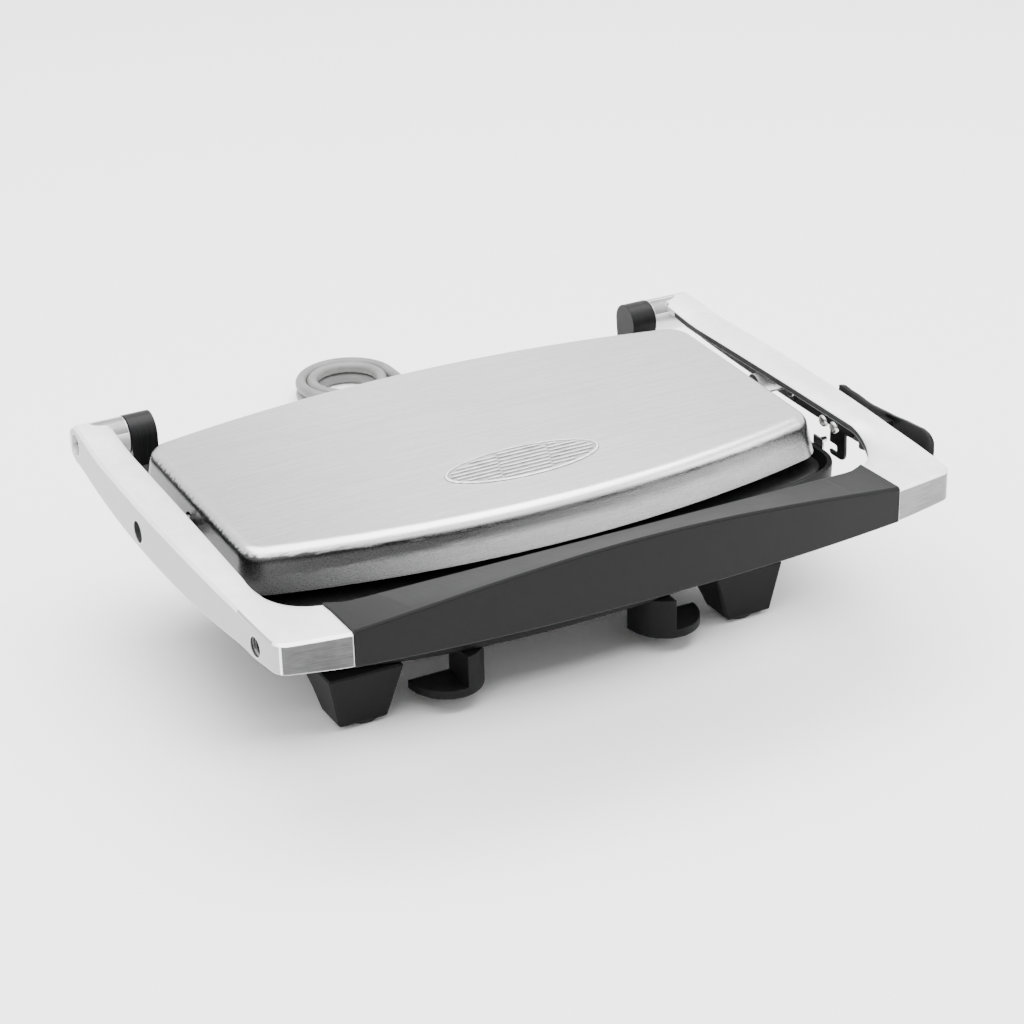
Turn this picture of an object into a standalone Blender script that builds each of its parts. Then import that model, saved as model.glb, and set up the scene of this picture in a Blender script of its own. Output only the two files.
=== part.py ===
"""Contact grill (panini press): a floating brushed lid in a U-shaped lifting frame over a ribbed base.

Units are metres, +Z is up, +Y points to the rear hinge and +X to the side with the latch. The whole
assembly hangs on the empty "origin", which centres its box on the world origin and stands it on Z = 0.
The tree of empties is origin > handle_hinge > lid_pivot and latch_slide, one empty on each joint's axis.
"""

import math

import bmesh
import bpy
from mathutils import Matrix, Vector

# ---- Driving dimensions ----------------------------------------------------------------------------

GAP = 0.0003  # clearance between fitted, unmoving pieces
RUN = 0.0006  # clearance round a moving piece

# Plan outline of the lid at its rim. Front and rear edges are parabolas across the width.
LID_HALF_WIDTH = 0.1605
LID_FRONT_Y = -0.0625
LID_FRONT_BOW = 0.0235
LID_REAR_Y = 0.1165
LID_REAR_BOW = 0.0145
LID_CORNER = 0.015

LID_RIM_Z = 0.0772
LID_EDGE_Z = 0.0994  # top face level at the middle of a side edge, above the lid's pivot line
LID_SLOPE = 0.030  # rise of the top face towards the rear, metres per metre
LID_CROWN = 0.0022  # rise of the top face from the side edges to the middle
LID_DRAFT = 0.0030  # inward lean of the walls from rim to top
LID_EDGE_ROUND = 0.0050
LID_SHEET = 0.0012

BASE_GROW = 0.0085  # how far the base's rim stands outside the lid's
BASE_REAR_Y = 0.1220
BASE_RIM_Z = 0.0725
BASE_BAND = 0.0130  # height of the upright band under the rim
BASE_FLOOR_Z = 0.0300
BASE_FLOOR_INSET = 0.0080
BASE_WAIST = 0.183  # how far the tub's floor is drawn in sideways, for each metre beyond WAIST_FROM
WAIST_FROM = 0.050
WALL = 0.0025

PLATE_LOW_Z = 0.0640  # underside of the lower grill plate
PLATE_THICK = 0.0050
RIB_PITCH = 0.0150
RIB_WIDTH = 0.0060
RIB_HEIGHT = 0.0030
RIB_COUNT = 17
LOWER_RIB_TOP = 0.0721
UPPER_RIB_LOW = 0.0756

HINGE_Y = 0.1320
HINGE_Z = 0.0937
BARREL_RADIUS = 0.0100
BARREL_IN = 0.1406
BARREL_OUT = 0.1548
PIN_RADIUS = 0.0030
PIN_CLEARANCE = 0.00007  # running clearance in the post's bore

PIVOT_Y = 0.0360
PIVOT_Z = 0.0860
PIVOT_BOSS = 0.0060

ARM_OUT = 0.1850  # widest half-width, over the arms
ARM_WIDEST_Y = 0.0120
ARM_JOINT_X = 0.1455  # where arm and grip bar meet
ARM_JOINT_FRONT_Y = -0.1302
ARM_CORNER_FRONT_Y = -0.1246  # the front face bows back towards the outer corners
ARM_TOP_Z = 0.0999
ARM_SHEET = 0.0030
ARM_FRONT_CORNER = 0.0075
ARM_SAG = 0.0022  # how far the top falls towards the inner edge, in the middle of the front corner
CORNER_RADIUS = 0.0470  # the frame's inner front corners, shared by arm and grip bar
CORNER_X, CORNER_Y = 0.1203, -0.0561

GRIP_CREASE_Y = -0.1424
GRIP_CREASE_Z = 0.1139
GRIP_LOW_Z = 0.0795
GRIP_REAR_Y = -0.1005
GRIP_REAR_Z = 0.0973
GRIP_SHEET = 0.0026

SCREW_RECESS = 0.0057
SCREW_HEAD = 0.0053
CLAMP = (-0.1030, 0.0872)  # Y and Z of the screws that clamp the grip bar's ends
CLAMP_RECESS = 0.0050
CLAMP_HEAD = 0.0046

WINDOW_Y = -0.0140
WINDOW_HALF_LENGTH = 0.0425
WINDOW_HALF_WIDTH = 0.0162

LEG_FRONT_Y = -0.0520
LEG_X = (0.0965, 0.1220)  # inner and outer edge of the sole
LEG_TOP_X = (0.0875, 0.1275)
LEG_REAR_Y = 0.0900
PAD_RADIUS = 0.0085
PAD_HEIGHT = 0.0024

LATCH_TRAVEL = 0.0090
PADDLE_OUT = 0.1990
PADDLE_Y = (-0.0835, -0.0055)
SLIDER_X = (0.1690, 0.1713)  # the slide's strip, inside the arm's channel
SLIDER_Z = (0.0882, 0.0928)
STEM_Y = (-0.0520, -0.0438)  # the slide's stem, which passes through a slot in the arm's outer wall
STEM_Z = (0.0886, 0.0920)
HOOK_X = SLIDER_X[1] + GAP
HOOK_THICK = 0.0016
HOOK_Y = (-0.0430, -0.0290)
HOOK_LOW_Z = 0.0702
CATCH_Y = -0.0215
CATCH_Z = 0.0748
CATCH_RADIUS = 0.0015

CORD_RADIUS = 0.0034
CORD_EXIT = (0.0150, 0.0460)  # where the cord leaves the rear wall: X and Z
GLAND_END_Y = 0.1480
CORD_LIE = 0.0036  # height of the cord's middle above the table
COIL_CENTRE = (0.0497, 0.3163)
COIL_OUTER = 0.0280  # middle of the coil's outer turns; the inner turns lie one diameter inside
COIL_LAYERS = 2
PLUG_X, PLUG_BACK_Y = 0.0814, 0.2280  # the plug lies on its side and points at the base
PLUG_RADIUS = 0.0180

CENTRE_X = (PADDLE_OUT - ARM_OUT) / 2
CENTRE_Y = (HINGE_Y + BARREL_RADIUS + GRIP_CREASE_Y) / 2

# ---- Finishes: colour, metallic, roughness ---------------------------------------------------------

FINISHES = {
    "black_plastic": ((0.035, 0.035, 0.037), 0.0, 0.42),
    "grip_plastic": ((0.060, 0.060, 0.063), 0.0, 0.38),
    "brushed_steel": ((0.62, 0.62, 0.61), 1.0, 0.28),
    "cast_aluminium": ((0.78, 0.78, 0.77), 1.0, 0.34),
    "plate_coating": ((0.030, 0.030, 0.032), 0.3, 0.50),
    "bright_steel": ((0.70, 0.70, 0.70), 1.0, 0.16),
    "dark_steel": ((0.10, 0.10, 0.105), 1.0, 0.40),
    "element_sheath": ((0.33, 0.31, 0.29), 1.0, 0.45),
    "reflector_sheet": ((0.80, 0.80, 0.80), 1.0, 0.30),
    "clear_lens": ((0.88, 0.89, 0.89), 0.0, 0.10),
    "red_lamp": ((0.62, 0.05, 0.03), 0.0, 0.25),
    "green_lamp": ((0.05, 0.45, 0.12), 0.0, 0.25),
    "ceramic": ((0.86, 0.84, 0.78), 0.0, 0.40),
    "rubber": ((0.030, 0.030, 0.030), 0.0, 0.80),
    "cord_sheath": ((0.48, 0.48, 0.47), 0.0, 0.50),
}


def finish(name):
    """The Principled material of that finish, made once."""
    material = bpy.data.materials.get(name)
    if material is None:
        colour, metallic, roughness = FINISHES[name]
        material = bpy.data.materials.new(name)
        material.use_nodes = True
        shader = material.node_tree.nodes["Principled BSDF"]
        shader.inputs["Base Color"].default_value = (*colour, 1.0)
        shader.inputs["Metallic"].default_value = metallic
        shader.inputs["Roughness"].default_value = roughness
        material.diffuse_color = (*colour, 1.0)
    return material


# ---- Placing ---------------------------------------------------------------------------------------


def clear_scene():
    for item in list(bpy.data.objects):
        bpy.data.objects.remove(item, do_unlink=True)


def empty(name, place, parent=None):
    """A joint's empty. Its design place is kept, because every mesh is drawn in the design frame."""
    item = bpy.data.objects.new(name, None)
    bpy.context.scene.collection.objects.link(item)
    item["design"] = place
    item.parent = parent
    base = Vector(parent["design"]) if parent else Vector((0, 0, 0))
    item.location = Vector(place) - base
    return item


def link(item, parent):
    """Hang an object drawn in the design frame on a joint's empty, without moving it."""
    bpy.context.scene.collection.objects.link(item)
    item.parent = parent
    item.location = -Vector(parent["design"])
    return item


def piece(name, bm, look, parent, bevel=0.0, segments=1, angle=40):
    """A finished piece from a bmesh: normals out, smooth where round, and edges eased if asked."""
    bmesh.ops.recalc_face_normals(bm, faces=bm.faces)
    mesh = bpy.data.meshes.new(name)
    bm.to_mesh(mesh)
    bm.free()
    mesh.materials.append(finish(look))
    mesh.shade_smooth()
    mesh.set_sharp_from_angle(angle=math.radians(angle))
    item = link(bpy.data.objects.new(name, mesh), parent)
    if bevel:
        ease = item.modifiers.new("eased_edges", "BEVEL")
        ease.width = bevel
        ease.segments = segments
        ease.limit_method = "ANGLE"
        ease.angle_limit = math.radians(angle)
        ease.use_clamp_overlap = True
    return item


def tool(name, bm, parent):
    """A solid that only cuts or adds to another piece."""
    item = piece(name, bm, "dark_steel", parent)
    item.hide_render = True
    item.display_type = "WIRE"
    return item


def apply_tool(item, other, operation):
    step = item.modifiers.new(other.name, "BOOLEAN")
    step.solver = "EXACT"
    step.operation = operation
    step.object = other


def cut(item, *cutters):
    for other in cutters:
        apply_tool(item, other, "DIFFERENCE")


def fuse(item, *additions):
    for other in additions:
        apply_tool(item, other, "UNION")


# ---- Shapes ----------------------------------------------------------------------------------------


def filleted(corners, steps=4):
    """A closed outline. Each corner is (a, b, radius), and a radius of 0 keeps the point."""
    found = []
    for i, (a, b, radius) in enumerate(corners):
        here = Vector((a, b))
        if radius <= 0:
            found.append(here)
            continue
        before = (Vector(corners[i - 1][:2]) - here).normalized()
        after = (Vector(corners[(i + 1) % len(corners)][:2]) - here).normalized()
        half = before.angle(after) / 2
        middle = here + (before + after).normalized() * radius / math.sin(half)
        start = here + before * radius / math.tan(half) - middle
        sweep = start.angle_signed(here + after * radius / math.tan(half) - middle)
        for k in range(steps + 1):
            found.append(middle + Matrix.Rotation(-sweep * k / steps, 2) @ start)
    return [(p.x, p.y) for p in found]


def loft(rings):
    """A closed solid through rings of equal length: a face on the first is extruded to each next one."""
    bm = bmesh.new()
    first = cap = bm.faces.new([bm.verts.new(p) for p in rings[0]])
    for ring in rings[1:]:
        made = bmesh.ops.extrude_face_region(bm, geom=[cap])["geom"]
        if cap is not first:
            bmesh.ops.delete(bm, geom=[cap], context="FACES_ONLY")
        cap = next(g for g in made if isinstance(g, bmesh.types.BMFace))
        for vert, point in zip(cap.verts, ring):
            vert.co = point
    return bm


def prism(outline, low, high, axis="z"):
    """An outline raised between two levels along an axis; (a, b) are the two other axes in order."""
    place = {
        "x": lambda a, b, h: (h, a, b),
        "y": lambda a, b, h: (a, h, b),
        "z": lambda a, b, h: (a, b, h),
    }[axis]
    return loft([[place(a, b, h) for a, b in outline] for h in (low, high)])


def block(x, y, z, round_corner=0.0, steps=3):
    """A block between pairs of X, Y and Z, with upright corners rounded if asked."""
    corners = [(x[0], y[0], round_corner), (x[1], y[0], round_corner),
               (x[1], y[1], round_corner), (x[0], y[1], round_corner)]
    return prism(filleted(corners, steps), z[0], z[1])


def turned(profile, place, axis="z", steps=20, closed=False):
    """A turned piece. The profile holds (radius, height) points; an open one starts and ends on the axis."""
    bm = bmesh.new()
    verts = [bm.verts.new((r, 0, h)) for r, h in profile]
    edges = [bm.edges.new(pair) for pair in zip(verts, verts[1:])]
    if closed:
        edges.append(bm.edges.new((verts[-1], verts[0])))
    bmesh.ops.spin(bm, geom=verts + edges, cent=(0, 0, 0), axis=(0, 0, 1),
                   angle=2 * math.pi, steps=steps, use_merge=True)
    bmesh.ops.remove_doubles(bm, verts=bm.verts, dist=1e-6)
    turn = {"z": Matrix(), "x": Matrix.Rotation(math.pi / 2, 4, "Y"),
            "y": Matrix.Rotation(-math.pi / 2, 4, "X")}[axis]
    bmesh.ops.transform(bm, matrix=Matrix.Translation(place) @ turn, verts=bm.verts)
    return bm


def rod(radius, start, end, place, axis="x", steps=20):
    """A plain round bar from start to end along its axis; place gives the two other coordinates."""
    spot = {"x": (0, *place), "y": (place[0], 0, place[1]), "z": (*place, 0)}[axis]
    return turned([(0, start), (radius, start), (radius, end), (0, end)], spot, axis, steps)


def sleeve(inner, outer, start, end, place, axis="x", steps=20):
    """A round tube wall from start to end along its axis."""
    spot = {"x": (0, *place), "y": (place[0], 0, place[1]), "z": (*place, 0)}[axis]
    profile = [(inner, start), (outer, start), (outer, end), (inner, end)]
    return turned(profile, spot, axis, steps, closed=True)


def smooth_route(points, count):
    """Evenly spaced points of a Catmull-Rom curve through the given points."""
    knots = [Vector(p) for p in points]
    knots = [2 * knots[0] - knots[1]] + knots + [2 * knots[-1] - knots[-2]]
    fine = []
    for a, b, c, d in zip(knots, knots[1:], knots[2:], knots[3:]):
        for k in range(24):
            t = k / 24
            fine.append(0.5 * (2 * b + (c - a) * t + (2 * a - 5 * b + 4 * c - d) * t * t
                               + (3 * b - a - 3 * c + d) * t ** 3))
    fine.append(knots[-2])
    lengths = [0.0]
    for a, b in zip(fine, fine[1:]):
        lengths.append(lengths[-1] + (b - a).length)
    found, j = [], 0
    for k in range(count):
        want = lengths[-1] * k / (count - 1)
        while j < len(fine) - 2 and lengths[j + 1] < want:
            j += 1
        part = (want - lengths[j]) / (lengths[j + 1] - lengths[j])
        found.append(fine[j].lerp(fine[j + 1], part))
    return found


def tube(name, points, radius, look, parent):
    """A round tube with closed ends along the points."""
    curve = bpy.data.curves.new(name, "CURVE")
    curve.dimensions = "3D"
    curve.bevel_depth = radius
    curve.bevel_resolution = 2
    curve.use_fill_caps = True
    spline = curve.splines.new("POLY")
    spline.points.add(len(points) - 1)
    for target, point in zip(spline.points, points):
        target.co = (*point, 1.0)
    curve.materials.append(finish(look))
    return link(bpy.data.objects.new(name, curve), parent)


def side_name(stem, side):
    return f"{stem}_{'left' if side < 0 else 'right'}"


# ---- The shared plan outline -----------------------------------------------------------------------


def plan(grow=0.0, rear_y=LID_REAR_Y, rear_bow=LID_REAR_BOW):
    """The bowed outline of lid, trays, plates and base, grown outward from the lid's rim."""
    half = LID_HALF_WIDTH + grow
    radius = max(LID_CORNER + grow, 0.004)
    inner = half - 1.7 * radius
    front, rear = LID_FRONT_Y - grow, rear_y + grow
    spots = [inner * k / 3 for k in range(-3, 4)]
    corners = [(x, front + LID_FRONT_BOW * (x / half) ** 2, 0) for x in spots]
    corners.append((half, front + LID_FRONT_BOW, radius))
    corners.append((half, rear - rear_bow, radius))
    corners += [(x, rear - rear_bow * (x / half) ** 2, 0) for x in reversed(spots)]
    corners.append((-half, rear - rear_bow, radius))
    corners.append((-half, front + LID_FRONT_BOW, radius))
    return filleted(corners)


def level(outline, z):
    return [(x, y, z) for x, y in outline]


def base_plan(grow=0.0):
    return plan(BASE_GROW + grow, rear_y=BASE_REAR_Y - BASE_GROW)


def lid_top(x, y):
    """Height of the lid's crowned and sloping top face."""
    return LID_EDGE_Z + LID_SLOPE * (y - PIVOT_Y) + LID_CROWN * (1 - (x / LID_HALF_WIDTH) ** 2)


# ---- Base ------------------------------------------------------------------------------------------


def waisted(outline):
    """The base's outline drawn in from both sides, as its floor is."""
    return [(x - math.copysign(BASE_WAIST * max(0.0, abs(x) - WAIST_FROM), x), y) for x, y in outline]


def lower_housing(root):
    """A tub without a floor: an upright band at the rim, then walls that lean in to the floor's edge."""
    band_low = BASE_RIM_Z - BASE_BAND
    rings = [
        level(base_plan(0), BASE_RIM_Z),
        level(base_plan(-0.0005), band_low),
        level(base_plan(-0.0030), band_low - 0.0030),
        level(waisted(base_plan(-BASE_FLOOR_INSET)), BASE_FLOOR_Z),
        level(waisted(base_plan(-BASE_FLOOR_INSET - WALL)), BASE_FLOOR_Z),
        level(base_plan(-0.0030 - WALL), band_low - 0.0020),
        level(base_plan(-0.0005 - WALL), band_low + 0.0010),
        level(base_plan(-WALL), BASE_RIM_Z),
    ]
    bm = ring_body(rings)
    housing = piece("lower_housing", bm, "black_plastic", root)
    cut(housing, tool("cord_hole", rod(0.0062, 0.09, 0.14, CORD_EXIT, "y", 16), root))


def ring_body(rings):
    """A closed wall through rings that return to where they began, such as a frame or a tub's side."""
    bm = bmesh.new()
    loops = [[bm.verts.new(p) for p in ring] for ring in rings]
    for near, far in zip(loops, loops[1:] + loops[:1]):
        for k in range(len(near)):
            bm.faces.new((near[k - 1], near[k], far[k], far[k - 1]))
    return bm


def bottom_cover(root):
    """The floor plate, set inside the foot of the tub's walls, with a shallow stiffening tray."""
    edge = -BASE_FLOOR_INSET - WALL - GAP
    rings = [
        level(waisted(base_plan(edge)), BASE_FLOOR_Z + 0.0002),
        level(waisted(base_plan(edge)), BASE_FLOOR_Z + 0.0030),
    ]
    cover = piece("bottom_cover", loft(rings), "black_plastic", root)
    for side in (-1, 1):
        vents = [block((side * x - 0.0025, side * x + 0.0025), (0.012, 0.052), (0.02, 0.05))
                 for x in (0.030, 0.045, 0.060)]
        for k, vent in enumerate(vents):
            cut(cover, tool(side_name(f"vent_slot_{k}", side), vent, root))
        for end, y in (("front", -0.030), ("rear", 0.066)):
            cover_screw(side_name(f"cover_screw_{end}", side), side * 0.080, y, root, cover)


def cover_screw(name, x, y, root, cover):
    """A screw up through the bottom cover, with its pan head below."""
    z = BASE_FLOOR_Z + 0.0002 - GAP
    cut(cover, tool(f"{name}_hole", rod(0.0022, 0.02, 0.05, (x, y), "z", 12), root))
    profile = [(0, z - 0.0020), (0.0022, z - 0.0022), (0.0034, z - 0.0014), (0.0036, z), (0.0018, z),
               (0.0018, z + 0.0080), (0, z + 0.0080)]
    piece(name, turned(profile, (x, y, 0), "z", 12), "bright_steel", root)


def grill_plate(name, low, thick, rib_to, grow_from, root):
    """A cast plate with straight ribs from front to rear, raised from one face by extrusion."""
    rib_up = rib_to > low
    bm = loft([level(grow_from(0), low), level(grow_from(0), low + thick)])
    face_z = low + thick if rib_up else low
    edges = []
    for k in range(RIB_COUNT):
        middle = (k - (RIB_COUNT - 1) / 2) * RIB_PITCH
        edges += [middle - RIB_WIDTH / 2, middle + RIB_WIDTH / 2]
    for x in edges:
        geometry = bm.verts[:] + bm.edges[:] + bm.faces[:]
        bmesh.ops.bisect_plane(bm, geom=geometry, plane_co=(x, 0, 0), plane_no=(1, 0, 0), dist=1e-6)
    for y in (-0.0300, 0.0920):
        geometry = bm.verts[:] + bm.edges[:] + bm.faces[:]
        bmesh.ops.bisect_plane(bm, geom=geometry, plane_co=(0, y, 0), plane_no=(0, 1, 0), dist=1e-6)
    tops = []
    for face in bm.faces:
        spot = face.calc_center_median()
        if abs(spot.z - face_z) > 1e-5 or not -0.0300 < spot.y < 0.0920:
            continue
        place = (spot.x / RIB_PITCH + (RIB_COUNT - 1) / 2) % 1.0
        if min(place, 1 - place) < RIB_WIDTH / RIB_PITCH / 2 and abs(spot.x) < RIB_COUNT * RIB_PITCH / 2:
            tops.append(face)
    raised = bmesh.ops.extrude_face_region(bm, geom=tops)["geom"]
    bmesh.ops.delete(bm, geom=tops, context="FACES_ONLY")
    moved = [g for g in raised if isinstance(g, bmesh.types.BMVert)]
    for vert in moved:
        vert.co.z = rib_to
    return piece(name, bm, "plate_coating", root)


def heating_element(name, z, ends_z, parent):
    """A tubular heater bent to a flat U under its plate, its cold ends turned away from the plate."""
    half, front, rear, bend = 0.115, -0.036, 0.085, 0.022
    loop = filleted([(-0.012, rear, 0), (-half, rear, bend), (-half, front, bend),
                     (half, front, bend), (half, rear, bend), (0.012, rear, 0)], 6)
    route = [(-0.012, rear, ends_z)] + [(x, y, z) for x, y in loop] + [(0.012, rear, ends_z)]
    tube(name, route, 0.0032, "element_sheath", parent)


def reflector(name, z, shape, parent):
    """A thin pressed sheet behind the heater."""
    piece(name, loft([level(shape, z), level(shape, z + 0.0008)]), "reflector_sheet", parent)


def thermostat(name, place, low, high, parent):
    """A ceramic-bodied bimetal thermostat on a stem between the plate and its body."""
    x, y = place
    profile = [(0, low), (0.0080, low), (0.0080, high - 0.004), (0.0040, high - 0.004),
               (0.0040, high), (0, high)]
    piece(name, turned(profile, (x, y, 0), "z", 16), "ceramic", parent)


def hinge_post(side, root):
    """A plastic post from the base's rear corner up to a round barrel for the frame's hinge pin."""
    low, depth = 0.0460, BARREL_RADIUS
    arc = [(HINGE_Y + depth * math.cos(math.radians(a)), HINGE_Z + depth * math.sin(math.radians(a)))
           for a in range(-10, 191, 20)]
    outline = arc + [(HINGE_Y - depth, 0.0790), (0.1150 + RUN, 0.0735), (0.1150 + RUN, BASE_RIM_Z + RUN),
                     (0.1237, BASE_RIM_Z - 0.001), (0.1237, low), (HINGE_Y + 0.006, low)]
    ends = sorted((side * BARREL_IN, side * BARREL_OUT))
    post = piece(side_name("hinge_post", side), prism(outline, ends[0], ends[1], "x"), "black_plastic",
                 root, bevel=0.0012)
    bore = rod(PIN_RADIUS + PIN_CLEARANCE, side * (BARREL_OUT + 0.002), side * (BARREL_IN + 0.002),
               (HINGE_Y, HINGE_Z), "x", 28)
    cut(post, tool(side_name("post_bore", side), bore, root))


def leg(end, side, root):
    """A tapered leg: its inner and outer faces lean in, and its back runs down to a narrow sole."""
    front = LEG_FRONT_Y if end == "front" else LEG_REAR_Y
    way = 1 if end == "front" else -1
    top, sole = BASE_FLOOR_Z - GAP, PAD_HEIGHT - 0.0006
    rings = []
    for z, part in ((sole, 0.0), ((top + sole) * 0.42, 0.42), (top, 1.0)):
        inner = LEG_X[0] + (LEG_TOP_X[0] - LEG_X[0]) * part
        outer = LEG_X[1] + (LEG_TOP_X[1] - LEG_X[1]) * part
        face = front - way * 0.0030 * part
        back = front + way * (0.0215 + 0.0100 * part ** 0.8 + 0.0110 * part ** 3)
        rings.append([(side * inner, face, z), (side * outer, face, z),
                      (side * outer, back, z), (side * inner, back, z)])
    name = side_name(f"leg_{end}", side)
    foot = piece(name, loft(rings), "black_plastic", root, bevel=0.0010)
    centre = (side * ((LEG_X[0] + LEG_X[1]) / 2 - 0.0026), front + way * 0.0094)
    cut(foot, tool(f"{name}_socket", rod(PAD_RADIUS + GAP, -0.001, 0.0048, centre, "z", 20), root))
    profile = [(0, 0), (PAD_RADIUS - 0.0008, 0), (PAD_RADIUS, 0.0008), (PAD_RADIUS, 0.0045), (0, 0.0045)]
    piece(side_name(f"foot_pad_{end}", side), turned(profile, (*centre, 0), "z", 20), "rubber", root)


def cord_cleat(side, root):
    """A D-shaped bracket under the floor: its stem and the wider flange below hold the wound cord."""
    top, low, flange_top = BASE_FLOOR_Z - GAP, 0.0085, 0.0130
    middle, half, back, front = 0.0615, 0.0195, -0.0430, -0.0655
    arc = [(middle + half * math.cos(math.radians(a)), back + (front - back) * math.sin(math.radians(a)))
           for a in range(0, 181, 15)]
    dee = [(side * x, y) for x, y in arc]
    stem_edge = 0.0585
    body = prism(dee, low, top)
    cleat = piece(side_name("cord_cleat", side), body, "black_plastic", root)
    notch = block(tuple(sorted((side * stem_edge, side * 0.10))), (-0.09, -0.02), (flange_top, 0.05))
    cut(cleat, tool(side_name("cleat_notch", side), notch, root))


def latch_catch(root):
    """A small plate on the base's side with the stud that the latch hook takes."""
    face = LID_HALF_WIDTH + BASE_GROW + GAP
    bm = block((face, face + 0.0010), (CATCH_Y - 0.0045, CATCH_Y + 0.0045), (0.0650, CATCH_Z + 0.0021))
    plate = piece("latch_catch", bm, "bright_steel", root)
    stud = rod(CATCH_RADIUS, face + 0.0005, HOOK_X + HOOK_THICK + 0.0012, (CATCH_Y, CATCH_Z), "x", 14)
    fuse(plate, tool("catch_stud", stud, root))


def terminal_block(root):
    bm = block((-0.030, 0.002), (0.0930, 0.1010), (0.0345, 0.0445))
    piece("terminal_block", bm, "ceramic", root, bevel=0.0006)


def build_base(root):
    lower_housing(root)
    bottom_cover(root)
    grill_plate("lower_grill_plate", PLATE_LOW_Z, PLATE_THICK, LOWER_RIB_TOP,
                lambda grow: base_plan(grow - 0.0035 - WALL), root)
    heating_element("lower_heating_element", PLATE_LOW_Z - 0.0040, 0.0540, root)
    reflector("lower_reflector", 0.0500, base_plan(-0.0200), root)
    thermostat("lower_thermostat", (0.0, 0.030), 0.0520, PLATE_LOW_Z - GAP, root)
    terminal_block(root)
    latch_catch(root)
    for side in (-1, 1):
        hinge_post(side, root)
        cord_cleat(side, root)
        for end in ("front", "rear"):
            leg(end, side, root)


# ---- Lifting frame ---------------------------------------------------------------------------------


def arm_height(y):
    """Height of an arm's outer side: deepest a little behind its middle."""
    return max(0.0226 - 0.0063 * ((y - 0.020) / 0.110) ** 2, 0.0168)


def arm_top(y):
    t = y / 0.134
    return ARM_TOP_Z + 0.0018 * t - 0.0012 * t * t


def arm_outer(y):
    return ARM_OUT - 0.0044 * ((y - ARM_WIDEST_Y) / 0.134) ** 2


def arm_inner(y):
    return 0.1665 - 0.0026 * max(y, CORNER_Y) / 0.134 - 0.0003


def arm_front(x):
    """The front face's Y at one place across the frame."""
    part = (x * x - ARM_JOINT_X ** 2) / (0.1800 ** 2 - ARM_JOINT_X ** 2)
    return ARM_JOINT_FRONT_Y + (ARM_CORNER_FRONT_Y - ARM_JOINT_FRONT_Y) * part


def inner_corner(x):
    """The rear edge's Y on the round inner corner that arm and grip bar share."""
    return CORNER_Y - math.sqrt(max(CORNER_RADIUS ** 2 - (x - CORNER_X) ** 2, 0.0))


def arm_stations():
    """(outer XY, inner XY, top Z, bottom Z, sag) from the rounded rear end to the joint with the grip."""
    found = []
    radius = BARREL_RADIUS
    for a in (90, 60, 30, 0):
        y = HINGE_Y + radius * math.sin(math.radians(a))
        rise = max(radius * math.cos(math.radians(a)), 0.0012)
        found.append((arm_outer(HINGE_Y), y, arm_inner(HINGE_Y), y, HINGE_Z + rise, HINGE_Z - rise, 0.0))
    for k in range(1, 10):
        y = HINGE_Y - 0.0200 * k
        blend = min(1.0, k / 2.0)
        top = arm_top(y) * blend + (HINGE_Z + radius) * (1 - blend)
        found.append((arm_outer(y), y, arm_inner(y), y, top, arm_top(y) - arm_height(y), 0.0))
    corner_x = arm_outer(-0.1200)
    sides = [(arm_outer(y), y) for y in (-0.0660, -0.0840, -0.1020)]
    round_edge = filleted([(corner_x, -0.1000, 0), (corner_x, arm_front(corner_x), ARM_FRONT_CORNER),
                           (0.1600, arm_front(0.1600), 0)], 3)
    fronts = round_edge[1:] + [(ARM_JOINT_X, arm_front(ARM_JOINT_X))]
    last = math.acos((ARM_JOINT_X - CORNER_X) / CORNER_RADIUS)
    turns = [last * part for part in (0.10, 0.26, 0.40, 0.50, 0.59, 0.68, 0.77, 0.88, 1.0)]
    for (ox, oy), turn in zip(sides + fronts, turns):
        ix, iy = CORNER_X + CORNER_RADIUS * math.cos(turn), CORNER_Y - CORNER_RADIUS * math.sin(turn)
        top = arm_top(oy) - 0.0001
        low = top - (0.0168 - 0.0016 * max(0.0, 1 - abs(ox - 0.1800) / 0.03) * (oy < -0.110))
        found.append((ox, oy, ix, iy, top, low, ARM_SAG * math.sin(math.pi * turn / last)))
    return found


def arm_ring(station, side):
    """The arm's channel section at a station: outer wall, top and a short inner lip."""
    ox, oy, ix, iy, top, low, sag = station
    out = Vector((ox - ix, oy - iy))
    width = out.length
    out /= width
    sheet = min(ARM_SHEET, (top - low) * 0.3)
    lip = min(0.0045, (top - low) * 0.55)
    inner_top = top - 0.0010 - sag
    section = [(width, top - 0.0012), (width, low), (width - sheet, low), (width - sheet, top - sheet - 0.0012),
               (sheet, inner_top - sheet), (sheet * 0.8, inner_top - lip), (0, inner_top - lip),
               (0, inner_top - 0.0012), (0.0014, inner_top), (min(0.0100, width * 0.5), top - 0.0003),
               (width - 0.0016, top)]
    return [(side * (ix + out.x * w), iy + out.y * w, z) for w, z in section]


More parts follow.
